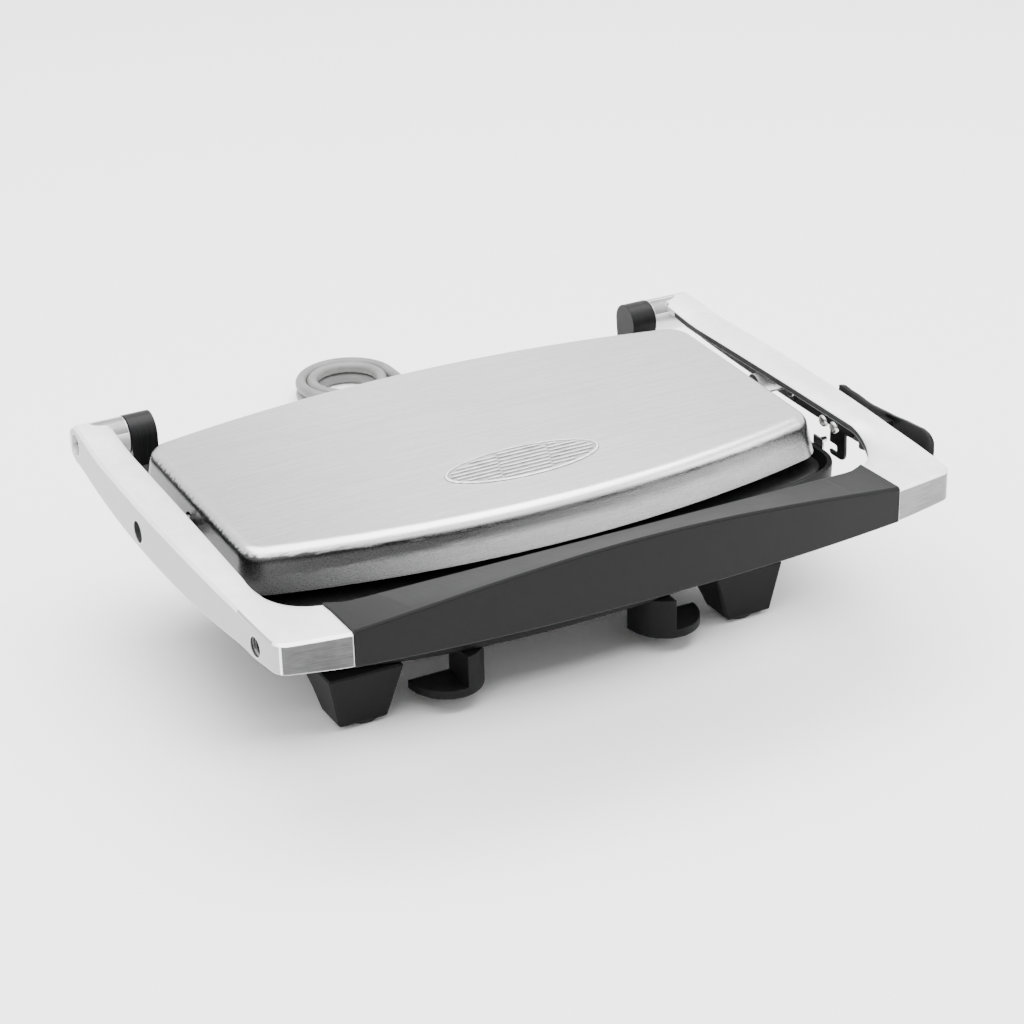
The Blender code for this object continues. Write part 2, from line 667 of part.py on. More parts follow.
def arm(side, frame):
    """A cast channel arm with the hinge knuckle, the lid's pivot boss and three recessed screw seats."""
    body = piece(side_name("arm", side), loft([arm_ring(s, side) for s in arm_stations()]),
                 "cast_aluminium", frame)
    hinge, pivot = (HINGE_Y, HINGE_Z), (PIVOT_Y, PIVOT_Z)
    bosses = [
        rod(0.0097, side * (BARREL_OUT + RUN), side * 0.1805, hinge, "x", 24),
        rod(PIVOT_BOSS, side * 0.1655, side * 0.1832, pivot, "x", 20),
        rod(0.0055, side * 0.1700, side * 0.1795, CLAMP, "x", 16),
        rod(0.0048, 0.0845, 0.0968, (side * 0.1752, -0.0590), "z", 16),
    ]
    for k, boss in enumerate(bosses):
        fuse(body, tool(side_name(f"arm_boss_{k}", side), boss, frame))
    bores = [
        rod(PIN_RADIUS + 0.00005, side * 0.15, side * 0.19, hinge, "x", 16),
        rod(SCREW_RECESS, side * 0.1782, side * 0.19, hinge, "x", 20),
        rod(PIN_RADIUS, side * 0.16, side * 0.19, pivot, "x", 16),
        rod(SCREW_RECESS, side * 0.1800, side * 0.19, pivot, "x", 20),
        rod(0.0022, side * 0.16, side * 0.19, CLAMP, "x", 12),
        rod(CLAMP_RECESS, side * 0.1745, side * 0.19, CLAMP, "x", 20),
    ]
    if side > 0:
        slot = block((0.1760, 0.1900), (STEM_Y[0] - RUN, STEM_Y[1] + LATCH_TRAVEL + RUN),
                     (STEM_Z[0] - RUN, STEM_Z[1] + RUN))
        bores.append(slot)
    for k, bore in enumerate(bores):
        cut(body, tool(side_name(f"arm_bore_{k}", side), bore, frame))


def screw(name, side, shank, head_x, tip_x, place, frame, head=SCREW_HEAD):
    """A pan-head cross-recess screw along X, its head outward."""
    start, end = side * tip_x, side * head_x
    way = 1 if end > start else -1
    profile = [(0, start), (shank, start), (shank, end - way * 0.0001), (head, end),
               (head, end + way * 0.0014), (head * 0.55, end + way * 0.0024),
               (head * 0.35, end + way * 0.0024), (head * 0.25, end + way * 0.0012),
               (0, end + way * 0.0012)]
    piece(name, turned(profile, (0, *place), "x", 16), "bright_steel", frame)


def grip_edges(x):
    """Where the arch's crease, front foot and rear wall stand at one place across the grip bar."""
    t = (x / 0.150) ** 2
    crease_y = GRIP_CREASE_Y + 0.0098 * t + 0.0024 * t * t
    crease_z = GRIP_CREASE_Z - 0.0190 * t + 0.0028 * t * t
    front_y = -0.1404 + 0.0098 * t + 0.0004 * t * t
    rear_y = max(GRIP_REAR_Y, inner_corner(abs(x))) if abs(x) > CORNER_X else GRIP_REAR_Y
    return crease_y, crease_z, front_y, rear_y


def grip_section(x, sheet):
    """Closed arch polygon (Y, Z): down the front, back up inside and down the rear wall."""
    crease_y, crease_z, front_y, rear_y = grip_edges(x)
    low = GRIP_LOW_Z
    return [
        (rear_y, GRIP_REAR_Z - 0.0008), (rear_y - 0.0010, GRIP_REAR_Z),
        (crease_y + 0.0012, crease_z - 0.0001), (crease_y, crease_z - 0.0012),
        (front_y, low), (front_y + sheet, low),
        (crease_y + 1.15 * sheet, crease_z - 1.6 * sheet), (rear_y - sheet, GRIP_REAR_Z - 1.3 * sheet),
        (rear_y - sheet + 0.0005, low + 0.0030), (rear_y + 0.0005, low + 0.0030),
    ]


def grip_bar(frame):
    """The black bar between the arms: a bowed arch with a lens-shaped top face, and its flat foot cover."""
    end = ARM_JOINT_X - GAP
    spots = [end * k / 16 for k in range(-16, 17)]
    rings = [[(x, y, z) for y, z in grip_section(x, GRIP_SHEET)] for x in spots]
    piece("grip_bar", loft(rings), "grip_plastic", frame)
    rings = []
    for x in spots:
        _, _, front_y, rear_y = grip_edges(x)
        a, b = front_y + GRIP_SHEET + 0.0012, rear_y - GRIP_SHEET - GAP * 2
        low = GRIP_LOW_Z + 0.0034
        rings.append([(x, a, low), (x, b, low), (x, b, low + 0.002), (x, a, low + 0.002)])
    piece("grip_foot_cover", loft(rings), "black_plastic", frame)


def lid_lead(frame):
    """The supply lead to the lid, clipped inside the left arm's channel from the hinge to the pivot."""
    knots = [(-0.1755, 0.1190, 0.0900), (-0.1760, 0.1000, 0.0935), (-0.1765, 0.0750, 0.0945),
             (-0.1765, 0.0560, 0.0920), (-0.1762, 0.0460, 0.0870)]
    tube("lid_lead", smooth_route(knots, 12), 0.0018, "rubber", frame)


def build_frame(frame):
    for side in (-1, 1):
        arm(side, frame)
        screw(side_name("hinge_pin", side), side, PIN_RADIUS, 0.1785, BARREL_IN + 0.0030,
              (HINGE_Y, HINGE_Z), frame)
        screw(side_name("lid_pivot_screw", side), side, PIN_RADIUS - 0.0001, 0.1803, 0.1547,
              (PIVOT_Y, PIVOT_Z), frame)
        screw(side_name("grip_screw", side), side, 0.0020, 0.1748, 0.1600, CLAMP, frame, CLAMP_HEAD)
    grip_bar(frame)
    lid_lead(frame)


# ---- Lid with the upper grill ----------------------------------------------------------------------


def lid_ring(inset, drop):
    """A ring of the lid's top: inset from the rim's outline, and dropped below the top face."""
    return [(x, y, lid_top(x, y) - drop) for x, y in plan(-inset)]


def lid_profile(sheet):
    """Rings from the rim to the middle of the top, drawn one sheet's thickness inside if asked."""
    radius = LID_EDGE_ROUND - sheet
    rings = [level(plan(-sheet), LID_RIM_Z)]
    for a in (0, 30, 60, 90):
        turn = math.radians(a)
        inset = LID_DRAFT + sheet + radius * (1 - math.cos(turn))
        rings.append(lid_ring(inset, sheet + radius * (1 - math.sin(turn))))
    for part in (0.030, 0.060):
        rings.append(lid_ring(part, sheet))
    return rings


def lid_shell(lid):
    """The deep-drawn lid: leaning walls, a rounded edge and a crowned top with the lamp window's hole."""
    outer, inner = lid_profile(0.0), lid_profile(LID_SHEET)
    shell = piece("lid_shell", loft(list(reversed(inner)) + outer), "brushed_steel", lid, angle=35)
    hole = prism(ellipse(WINDOW_HALF_LENGTH, WINDOW_HALF_WIDTH), 0.08, 0.12)
    cut(shell, tool("window_hole", hole, lid))
    for side in (-1, 1):
        bore = rod(PIN_RADIUS + 0.0012, side * 0.150, side * 0.165, (PIVOT_Y, PIVOT_Z), "x", 16)
        cut(shell, tool(side_name("lid_bore", side), bore, lid))


def ellipse(half_x, half_y, count=32):
    return [(half_x * math.cos(2 * math.pi * k / count),
             WINDOW_Y + half_y * math.sin(2 * math.pi * k / count)) for k in range(count)]


def lamp_window(lid):
    """The oval lens: its face lies just proud of the top, and a flange below holds it in the hole."""
    face = ellipse(WINDOW_HALF_LENGTH - GAP, WINDOW_HALF_WIDTH - GAP)
    crown = ellipse(WINDOW_HALF_LENGTH * 0.80, WINDOW_HALF_WIDTH * 0.72)
    flange = ellipse(WINDOW_HALF_LENGTH + 0.004, WINDOW_HALF_WIDTH + 0.004)
    under = [(x, y, lid_top(x, y) - LID_SHEET) for x, y in flange]
    rings = [
        [(x, y, z - 0.0026) for x, y, z in under],
        [(x, y, z - 0.0006) for x, y, z in under],
        [(x, y, lid_top(x, y) - LID_SHEET - 0.0006) for x, y in face],
        [(x, y, lid_top(x, y) + 0.0004) for x, y in face],
        [(x, y, lid_top(x, y) + 0.0012) for x, y in crown],
    ]
    piece("lamp_window", loft(rings), "clear_lens", lid)


def lamps(lid):
    """The two signal lamps and the carrier that holds them under the window."""
    z = lid_top(0, WINDOW_Y) - 0.0125
    piece("lamp_carrier", block((-0.030, 0.030), (WINDOW_Y - 0.007, WINDOW_Y + 0.007), (z - 0.003, z), 0.003),
          "black_plastic", lid)
    for name, x, look in (("power_lamp", -0.014, "red_lamp"), ("ready_lamp", 0.014, "green_lamp")):
        profile = [(0, z + GAP), (0.0030, z + GAP), (0.0030, z + 0.0045), (0.0018, z + 0.0064), (0, z + 0.0068)]
        piece(name, turned(profile, (x, WINDOW_Y, 0), "z", 12), look, lid)


def upper_tray(lid):
    """The black frame inside the lid's rim that carries the upper grill plate."""
    foot, top = LID_RIM_Z - 0.0012, LID_RIM_Z + 0.0034
    rings = [
        level(plan(-0.0018), foot),
        level(plan(-0.0026), top - 0.0010),
        level(plan(-0.0036), top),
        level(plan(-0.0085), top),
        level(plan(-0.0085), top - 0.0014),
        level(plan(-0.0060), top - 0.0022),
        level(plan(-0.0060), foot),
    ]
    piece("upper_tray", ring_body(rings), "black_plastic", lid)


def pivot_bracket(side, lid):
    """A pressed steel ear inside the lid's wall, round the pivot."""
    ends = sorted((side * 0.1550, side * 0.1562))
    arc = [(PIVOT_Y + 0.009 * math.cos(math.radians(a)), PIVOT_Z + 0.0046 * math.sin(math.radians(a)))
           for a in range(-90, 270, 24)]
    ear = piece(side_name("pivot_bracket", side), prism(arc, ends[0], ends[1], "x"), "bright_steel", lid)
    bore = rod(PIN_RADIUS + 0.0001, side * 0.150, side * 0.160, (PIVOT_Y, PIVOT_Z), "x", 20)
    cut(ear, tool(side_name("bracket_bore", side), bore, lid))


def pivot_collar(side, lid):
    """The round collar that fills the gap between lid wall and arm and turns on the pivot screw."""
    start, end = side * (LID_HALF_WIDTH + GAP + 0.0002), side * (0.1655 - RUN)
    bm = sleeve(PIN_RADIUS + 0.0001, 0.0052, min(start, end), max(start, end), (PIVOT_Y, PIVOT_Z), "x", 20)
    piece(side_name("pivot_collar", side), bm, "bright_steel", lid)


def build_lid(lid):
    lid_shell(lid)
    lamp_window(lid)
    lamps(lid)
    upper_tray(lid)
    grill_plate("upper_grill_plate", UPPER_RIB_LOW + RIB_HEIGHT, PLATE_THICK, UPPER_RIB_LOW,
                lambda grow: plan(grow - 0.0090), lid)
    heating_element("upper_heating_element", UPPER_RIB_LOW + RIB_HEIGHT + PLATE_THICK + 0.0040, 0.0960, lid)
    upper_thermostat(UPPER_RIB_LOW + RIB_HEIGHT + PLATE_THICK + GAP, lid)
    upper_reflector(lid)
    for side in (-1, 1):
        pivot_bracket(side, lid)
        pivot_collar(side, lid)


def upper_thermostat(low, lid):
    profile = [(0, low), (0.0040, low), (0.0040, low + 0.003), (0.0080, low + 0.003),
               (0.0080, low + 0.0095), (0, low + 0.0095)]
    piece("upper_thermostat", turned(profile, (0, 0.040, 0), "z", 16), "ceramic", lid)


def upper_reflector(lid):
    """The pressed sheet above the upper heater, pierced for the thermostat."""
    sheet = piece("upper_reflector", block((-0.105, 0.105), (0.0020, 0.0740), (0.0916, 0.0922), 0.010),
                  "reflector_sheet", lid)
    cut(sheet, tool("reflector_hole", rod(0.0090, 0.08, 0.10, (0, 0.040), "z", 20), lid))


# ---- Latch -----------------------------------------------------------------------------------------


def latch_slider(latch):
    """The plastic slide: a strip inside the right arm, a stem through the arm's slot and the paddle."""
    body = piece("latch_slider", block(SLIDER_X, (STEM_Y[0], 0.0020), SLIDER_Z), "black_plastic", latch)
    stem = block((SLIDER_X[0] + 0.0004, PADDLE_OUT - 0.0035), (STEM_Y[0] + 0.0003, STEM_Y[1]), STEM_Z)
    fuse(body, tool("slider_stem", stem, latch))
    fuse(body, tool("slider_paddle", paddle(), latch))


def paddle():
    """The thumb paddle: a leaf that stands beside the arm, hollow towards it, and deeper at its front."""
    rings = []
    front, rear = PADDLE_Y
    for t, top, low in ((0.0, 0.0955, 0.0925), (0.04, 0.0965, 0.0905), (0.15, 0.0955, 0.0870),
                        (0.35, 0.0938, 0.0820), (0.55, 0.0942, 0.0785), (0.75, 0.0952, 0.0765),
                        (0.90, 0.0957, 0.0762), (0.96, 0.0948, 0.0775), (1.0, 0.0915, 0.0815)):
        y = rear + (front - rear) * t
        out = PADDLE_OUT - 0.0050 * (1 - t) ** 1.3
        middle = (top + low) / 2
        rings.append([(out - 0.0020, y, top), (out - 0.0002, y, top), (out, y, middle), (out - 0.0002, y, low),
                      (out - 0.0020, y, low), (out - 0.0014, y, middle)])
    return loft(rings)


def latch_hook(latch):
    """The steel hook plate: it hangs beside the base's rim, notched from behind for the catch stud."""
    front, rear = HOOK_Y
    low = HOOK_LOW_Z
    high = SLIDER_Z[1] - 0.0008
    outline = filleted([(front, high, 0), (front, low, 0.004), (rear, low, 0.002), (rear, CATCH_Z - 0.0021, 0),
                        (rear - 0.0068, CATCH_Z - 0.0021, 0.001), (rear - 0.0068, CATCH_Z + 0.0021, 0.001),
                        (rear, CATCH_Z + 0.0021, 0), (rear, SLIDER_Z[0] + 0.0004, 0),
                        (rear + 0.0110, SLIDER_Z[0] + 0.0004, 0.001), (rear + 0.0110, high, 0)], 3)
    piece("latch_hook", prism(outline, HOOK_X, HOOK_X + HOOK_THICK, "x"), "dark_steel", latch)


def latch_screws(latch):
    end = SLIDER_X[0] - GAP
    for name, y in (("latch_screw_front", -0.0382), ("latch_screw_rear", -0.0282)):
        profile = [(0, end - 0.0022), (0.0028, end - 0.0022), (0.0034, end - 0.0012), (0.0034, end), (0, end)]
        piece(name, turned(profile, (0, y, 0.0892), "x", 14), "bright_steel", latch)


def build_latch(latch):
    latch_slider(latch)
    latch_hook(latch)
    latch_screws(latch)


# ---- Cord ------------------------------------------------------------------------------------------


def cord_gland(root):
    """The tapered strain relief, clamped in the rear wall by a collar on each side of it."""
    wall_y = 0.1171
    profile = [(CORD_RADIUS + GAP, wall_y - 0.0080), (0.0085, wall_y - 0.0080), (0.0085, wall_y - 0.0046),
               (0.0058, wall_y - 0.0046), (0.0058, wall_y + 0.0026), (0.0085, wall_y + 0.0026),
               (0.0085, wall_y + 0.0060), (0.0066, wall_y + 0.0072), (0.0049, GLAND_END_Y),
               (CORD_RADIUS + GAP, GLAND_END_Y)]
    bm = turned(profile, (CORD_EXIT[0], 0, CORD_EXIT[1]), "y", 16, closed=True)
    piece("cord_gland", bm, "rubber", root)


def mains_cord(root):
    """The lead from the gland to its coil on the table, the coil, and the tail to the plug."""
    x, z = CORD_EXIT
    centre_x, centre_y = COIL_CENTRE
    enter = centre_x - COIL_OUTER
    lead = [(x, 0.1100, z), (x, 0.1300, z), (x, 0.1480, z), (x, 0.1640, z - 0.0050), (x + 0.0003, 0.1790, 0.0300),
            (x + 0.0010, 0.1930, 0.0160), (x + 0.0020, 0.2100, 0.0060), (x + 0.0035, 0.2330, CORD_LIE),
            (x + 0.0052, 0.2600, CORD_LIE), (enter - 0.0001, 0.2790, CORD_LIE)]
    tube("mains_cord_lead", smooth_route(lead, 16), CORD_RADIUS, "cord_sheath", root)
    reach = COIL_OUTER + CORD_RADIUS
    inner = COIL_OUTER - 3 * CORD_RADIUS
    height = 2 * CORD_RADIUS * COIL_LAYERS + 2 * (CORD_LIE - CORD_RADIUS)
    profile = [(inner, 0.0002), (reach - 0.0015, 0.0002), (reach, 0.0022), (reach, height - 0.0025),
               (reach - 0.0025, height), (inner, height)]
    bm = turned(profile, (centre_x, centre_y, 0), "z", 32, closed=True)
    piece("mains_cord_coil", bm, "cord_sheath", root)
    leave = centre_x + COIL_OUTER
    top = CORD_LIE + 2 * CORD_RADIUS
    tail = [(leave + 0.0010, centre_y - 0.0260, top), (leave + 0.0030, centre_y - 0.0370, top - 0.0012),
            (PLUG_X, PLUG_BACK_Y + 0.0300, top - 0.0020), (PLUG_X, PLUG_BACK_Y + 0.0170, PLUG_RADIUS - 0.0024),
            (PLUG_X, PLUG_BACK_Y + 0.0060, PLUG_RADIUS - 0.0001), (PLUG_X, PLUG_BACK_Y + GAP * 1.6, PLUG_RADIUS)]
    tube("mains_cord_tail", smooth_route(tail, 8), CORD_RADIUS, "cord_sheath", root)


def mains_plug(root):
    """A generic earthed two-pin plug lying on its side."""
    back = PLUG_BACK_Y
    profile = [(0, back), (0.0062, back), (0.0078, back - 0.0160), (0.0130, back - 0.0240),
               (PLUG_RADIUS, back - 0.0310), (PLUG_RADIUS, back - 0.0480), (0.0170, back - 0.0500),
               (0, back - 0.0500)]
    plug = piece("mains_plug", turned(profile, (PLUG_X, 0, PLUG_RADIUS), "y", 24), "cord_sheath", root)
    for k, x in enumerate((PLUG_X - 0.0095, PLUG_X + 0.0095)):
        pin = rod(0.0024, back - 0.0690, back - 0.0480, (x, PLUG_RADIUS), "y", 12)
        fuse(plug, tool(f"plug_pin_{k}", pin, root))


def main():
    clear_scene()
    origin = empty("origin", (0, 0, 0))
    origin.location = (-CENTRE_X, -CENTRE_Y, 0)
    frame = empty("handle_hinge", (0, HINGE_Y, HINGE_Z), origin)
    lid = empty("lid_pivot", (0, PIVOT_Y, PIVOT_Z), frame)
    latch = empty("latch_slide", (0.1700, -0.0300, 0.0850), frame)
    build_base(origin)
    build_frame(frame)
    build_lid(lid)
    build_latch(latch)
    cord_gland(origin)
    mains_cord(origin)
    mains_plug(origin)


if __name__ == "__main__":
    main()
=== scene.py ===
"""Looks of a contact grill: a brushed floating lid in a cast lifting frame over a ribbed base.

Every mesh is drawn in the CAD's design frame, in metres, and then shifted by the assembly's centre, so
that each finished object stands at the origin, unturned and unscaled.
"""

import logging
import math
from collections.abc import Callable, Iterable, Sequence
from dataclasses import dataclass, field
from enum import Enum

import bmesh
import bpy
from mathutils import Matrix, Vector

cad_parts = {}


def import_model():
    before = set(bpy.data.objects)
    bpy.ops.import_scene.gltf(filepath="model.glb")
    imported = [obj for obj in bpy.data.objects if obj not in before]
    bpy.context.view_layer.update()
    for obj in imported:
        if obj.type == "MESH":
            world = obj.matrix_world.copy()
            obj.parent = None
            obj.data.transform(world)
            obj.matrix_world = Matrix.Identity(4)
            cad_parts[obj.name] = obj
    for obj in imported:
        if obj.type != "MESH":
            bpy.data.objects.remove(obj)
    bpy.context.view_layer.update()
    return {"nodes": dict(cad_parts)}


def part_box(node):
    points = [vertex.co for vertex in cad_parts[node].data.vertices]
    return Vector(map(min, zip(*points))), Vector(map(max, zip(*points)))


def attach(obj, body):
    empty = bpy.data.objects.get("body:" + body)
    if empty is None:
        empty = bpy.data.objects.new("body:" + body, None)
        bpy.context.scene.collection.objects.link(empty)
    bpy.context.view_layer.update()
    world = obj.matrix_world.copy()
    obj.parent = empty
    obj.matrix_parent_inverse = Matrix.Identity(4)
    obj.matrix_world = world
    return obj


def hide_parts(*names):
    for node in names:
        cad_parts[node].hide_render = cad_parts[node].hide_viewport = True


LOG = logging.getLogger("contact_grill")
Point = tuple[float, float, float]
Flat = tuple[float, float]
GAP = 0.0003


# ---- Shader maths ----------------------------------------------------------------------------------


class Value:
    """A shader socket that Python's operators extend with Math nodes."""

    def __init__(self, graph: "Graph", socket: bpy.types.NodeSocket) -> None:
        """Keep the graph that the socket belongs to."""
        self.graph = graph
        self.socket = socket

    def _math(self, operation: str, *values: "Value | float") -> "Value":
        """Add one Math node.

        Args:
            operation: the node's operation.
            values: its inputs in order.

        Returns:
            The node's result.
        """
        return self.graph.add("ShaderNodeMath", {"operation": operation}, dict(enumerate(values)))

    def __add__(self, other: "Value | float") -> "Value":
        """Sum."""
        return self._math("ADD", self, other)

    def __sub__(self, other: "Value | float") -> "Value":
        """Difference."""
        return self._math("SUBTRACT", self, other)

    def __mul__(self, other: "Value | float") -> "Value":
        """Product."""
        return self._math("MULTIPLY", self, other)

    def __truediv__(self, other: "Value | float") -> "Value":
        """Quotient."""
        return self._math("DIVIDE", self, other)

    def __pow__(self, other: "Value | float") -> "Value":
        """Power."""
        return self._math("POWER", self, other)

    def __rsub__(self, other: float) -> "Value":
        """Reflected difference."""
        return self._math("SUBTRACT", other, self)

    __radd__ = __add__
    __rmul__ = __mul__

    def step(self, low: float, high: float) -> "Value":
        """A smooth step from 0 at low to 1 at high."""
        return self.graph.add(
            "ShaderNodeMapRange", {"interpolation_type": "SMOOTHSTEP"}, {0: self, 1: low, 2: high}
        )


class Graph:
    """One material and the nodes in it."""

    def __init__(self, name: str) -> None:
        """Start a material with a Principled shader."""
        self.material = bpy.data.materials.new(name)
        self.material.use_nodes = True
        self.tree = self.material.node_tree
        self.shader = self.tree.nodes["Principled BSDF"]

    def put(self, target: bpy.types.NodeSocket, value: "Value | float | Sequence[float]") -> None:
        """Link a value to a socket, or set the socket's own number."""
        if isinstance(value, Value):
            self.tree.links.new(value.socket, target)
        elif isinstance(value, (int, float)):
            if target.type in {"VECTOR", "RGBA"}:
                target.default_value = (value,) * len(target.default_value)
            else:
                target.default_value = value
        else:
            room = len(target.default_value)
            target.default_value = (*value, 1.0)[:room] if len(value) < room else tuple(value)

    def add(
        self,
        kind: str,
        settings: dict[str, object] | None = None,
        inputs: dict[int | str, object] | None = None,
        output: int | str = 0,
    ) -> Value:
        """Make a node.

        Args:
            kind: the node's type.
            settings: its properties; "stops" fills a colour ramp with (place, colour) pairs.
            inputs: values or links of its sockets, by index or name.
            output: which output to return.

        Returns:
            That output.
        """
        node = self.tree.nodes.new(kind)
        for name, setting in (settings or {}).items():
            if name == "stops":
                ramp = node.color_ramp
                for place, colour in setting[2:]:
                    ramp.elements.new(place).color = (*colour, 1.0)
                for item, (place, colour) in zip((ramp.elements[0], ramp.elements[-1]), setting[:2]):
                    item.position = place
                    item.color = (*colour, 1.0)
            else:
                setattr(node, name, setting)
        for name, value in (inputs or {}).items():
            self.put(node.inputs[name], value)
        return Value(self, node.outputs[output])

    def place(self, scale: Point = (1.0, 1.0, 1.0), turn: Point = (0.0, 0.0, 0.0)) -> Value:
        """Object coordinates, scaled and turned by a Mapping node."""
        spot = self.add("ShaderNodeTexCoord", output="Object")
        return self.add("ShaderNodeMapping", None, {"Vector": spot, "Scale": scale, "Rotation": turn})

    def noise(self, spot: Value, scale: float, detail: float = 2.0, rough: float = 0.5) -> Value:
        """Noise between 0 and 1 at a scale in cells per metre."""
        return self.add(
            "ShaderNodeTexNoise", None, {"Vector": spot, "Scale": scale, "Detail": detail, "Roughness": rough}
        )

    def axis(self, name: str) -> Value:
        """One of the object coordinates, in metres."""
        return self.add("ShaderNodeSeparateXYZ", None, {"Vector": self.place()}, name)

    def blend(self, part: Value, low: "Value | Sequence[float]", high: "Value | Sequence[float]") -> Value:
        """A colour between low and high, which may be values or plain colours."""
        ends = [end if isinstance(end, Value) else (*end, 1.0) for end in (low, high)]
        return self.add("ShaderNodeMix", {"data_type": "RGBA"}, {"Factor": part, 6: ends[0], 7: ends[1]}, 2)

    def bump(self, height: Value, strength: float, distance: float) -> None:
        """Feed a height into the shader's Normal."""
        normal = self.add(
            "ShaderNodeBump", None, {"Height": height, "Strength": strength, "Distance": distance}
        )
        self.put(self.shader.inputs["Normal"], normal)

    def edge_wear(self, reach: float) -> Value:
        """A mask that is 1 on convex edges, from the surface's pointiness-free bevel normal."""
        soft = self.add("ShaderNodeBevel", {"samples": 4}, {"Radius": reach})
        hard = self.add("ShaderNodeNewGeometry", output="Normal")
        same = self.add("ShaderNodeVectorMath", {"operation": "DOT_PRODUCT"}, {0: soft, 1: hard}, "Value")
        return (1.0 - same).step(0.004, 0.12)

    def set(self, **values: object) -> None:
        """Set the shader's sockets by name, with underscores for spaces."""
        for name, value in values.items():
            self.put(self.shader.inputs[name.replace("_", " ")], value)


# ---- Finishes --------------------------------------------------------------------------------------


class Sheen(Enum):
    """How glossy a moulded plastic is."""

    SATIN = 0.40
    MATT = 0.52
    DULL = 0.66


@dataclass(frozen=True)
class BrushedSteel:
    """Sheet steel brushed in one direction, with long fine scratches, and painted shade on the walls below the top's
    edge and towards the ends.
    """

    colour: Point = (0.74, 0.74, 0.745)
    roughness: float = 0.27
    stretch: Point = (1.0, 42.0, 42.0)
    # bend: the top's edge height, slope and pivot Y, which place the painted shade below the edge.
    bend: Point = (0.0994, 0.030, 0.0360)
    name: str = "brushed_steel"

    def make(self) -> bpy.types.Material:
        """Build the material."""
        g = Graph(self.name)
        spot = g.place(self.stretch)
        fine = g.noise(spot, 90.0, 3.0, 0.65)
        broad = g.noise(g.place(tuple(s * 0.22 for s in self.stretch)), 60.0, 2.0)
        smudge = g.noise(g.place(), 22.0, 3.0)
        tone = fine * 0.55 + broad * 0.45
        # Painted shade: below the top's edge the colour blends towards a near-black tone, darkest just under the bend
        # and weaker to the right, a painted reflection of the dark surround; fall adds painted shade, darkest at the
        # left end and slight at the right.
        level, slope, middle = self.bend
        depth = g.axis("Y") * slope + (level - middle * slope) - g.axis("Z") + (broad - 0.5) * 0.0035
        across = g.axis("X")
        band = depth.step(0.0012, 0.0040) * (1.0 - depth.step(0.0060, 0.0120) * 0.30)
        band = band * (1.0 - across.step(-0.12, 0.15) * 0.30)
        fall = (1.0 - across.step(-0.19, -0.03)) * 0.34 + across.step(0.02, 0.17) * 0.10
        dark = tuple(c * 0.90 for c in self.colour)
        light = tuple(min(1.0, c * 1.07) for c in self.colour)
        painted_shade_colour = tuple(c * 0.09 for c in self.colour)
        g.set(
            Base_Color=g.blend(band + fall, g.blend(tone.step(0.32, 0.68), dark, light), painted_shade_colour),
            Metallic=1.0,
            Roughness=fine * 0.16 + smudge * 0.07 + (self.roughness - 0.11),
        )
        g.bump(fine, 0.11, 0.0004)
        return g.material


@dataclass(frozen=True)
class CastAluminium:
    """Satin cast aluminium with a faint orange-peel skin, ground streaks and polished edges."""

    colour: Point = (0.95, 0.95, 0.95)
    roughness: float = 0.42
    streaks: float = 0.05
    name: str = "cast_aluminium"

    def make(self) -> bpy.types.Material:
        """Build the material."""
        g = Graph(self.name)
        skin = g.noise(g.place(), 900.0, 2.0)
        cloud = g.noise(g.place((1.0, 0.5, 1.0)), 45.0, 3.0)
        ground = g.noise(g.place((1.0, 1.0, 14.0)), 120.0, 3.0, 0.6)
        # On this light finish the edge mask is wear; on the darker painted-shade copies it also lightens their edges
        # towards light grey.
        wear = g.edge_wear(0.0009)
        low = tuple(c * (1 - 2.2 * self.streaks) for c in self.colour)
        tone = cloud * 0.5 + ground * 0.5
        base = g.blend(tone.step(0.36, 0.64), low, self.colour)
        g.set(
            Base_Color=g.blend(wear * 0.7, base, (0.92, 0.92, 0.92)),
            Metallic=0.70,
            Roughness=cloud * 0.10 + (self.roughness - 0.05) - wear * 0.10,
        )
        g.bump(skin, 0.05, 0.0003)
        return g.material


@dataclass(frozen=True)
class MouldedPlastic:
    """Black moulded plastic with a fine spark-eroded grain and slightly rubbed edges."""

    name: str
    colour: Point = (0.0060, 0.0060, 0.0063)
    sheen: Sheen = Sheen.MATT
    grain: float = 2600.0
    depth: float = 0.16

    def make(self) -> bpy.types.Material:
        """Build the material."""
        g = Graph(self.name)
        grain = g.noise(g.place(), self.grain, 2.0, 0.6)
        cloud = g.noise(g.place(), 38.0, 3.0)
        wear = g.edge_wear(0.0007)
        worn = tuple(c * 1.9 + 0.006 for c in self.colour)
        base = tuple(c * 0.9 for c in self.colour)
        g.set(
            Base_Color=g.blend(wear * 0.55 + cloud * 0.25, base, worn),
            Roughness=cloud * 0.10 + (self.sheen.value - 0.05) - wear * 0.08,
            Specular_IOR_Level=0.14,
        )
        g.bump(grain, self.depth, 0.0004)
        return g.material


@dataclass(frozen=True)
class BarrelPlastic:
    """The hinge barrels' black plastic, rubbed to a satin sheen on top by the turning frame."""

    name: str = "barrel_plastic"

    def make(self) -> bpy.types.Material:
        """Build the material."""
        g = Graph(self.name)
        rings = g.noise(g.place((60.0, 1.0, 1.0)), 40.0, 2.0)
        grain = g.noise(g.place(), 2200.0, 2.0)
        g.set(
            Base_Color=g.blend(rings.step(0.35, 0.75), (0.005, 0.005, 0.0055), (0.014, 0.014, 0.0145)),
            Roughness=rings * 0.18 + 0.30,
            Specular_IOR_Level=0.14,
        )
        g.bump(grain * 0.4 + rings * 0.6, 0.10, 0.0004)
        return g.material


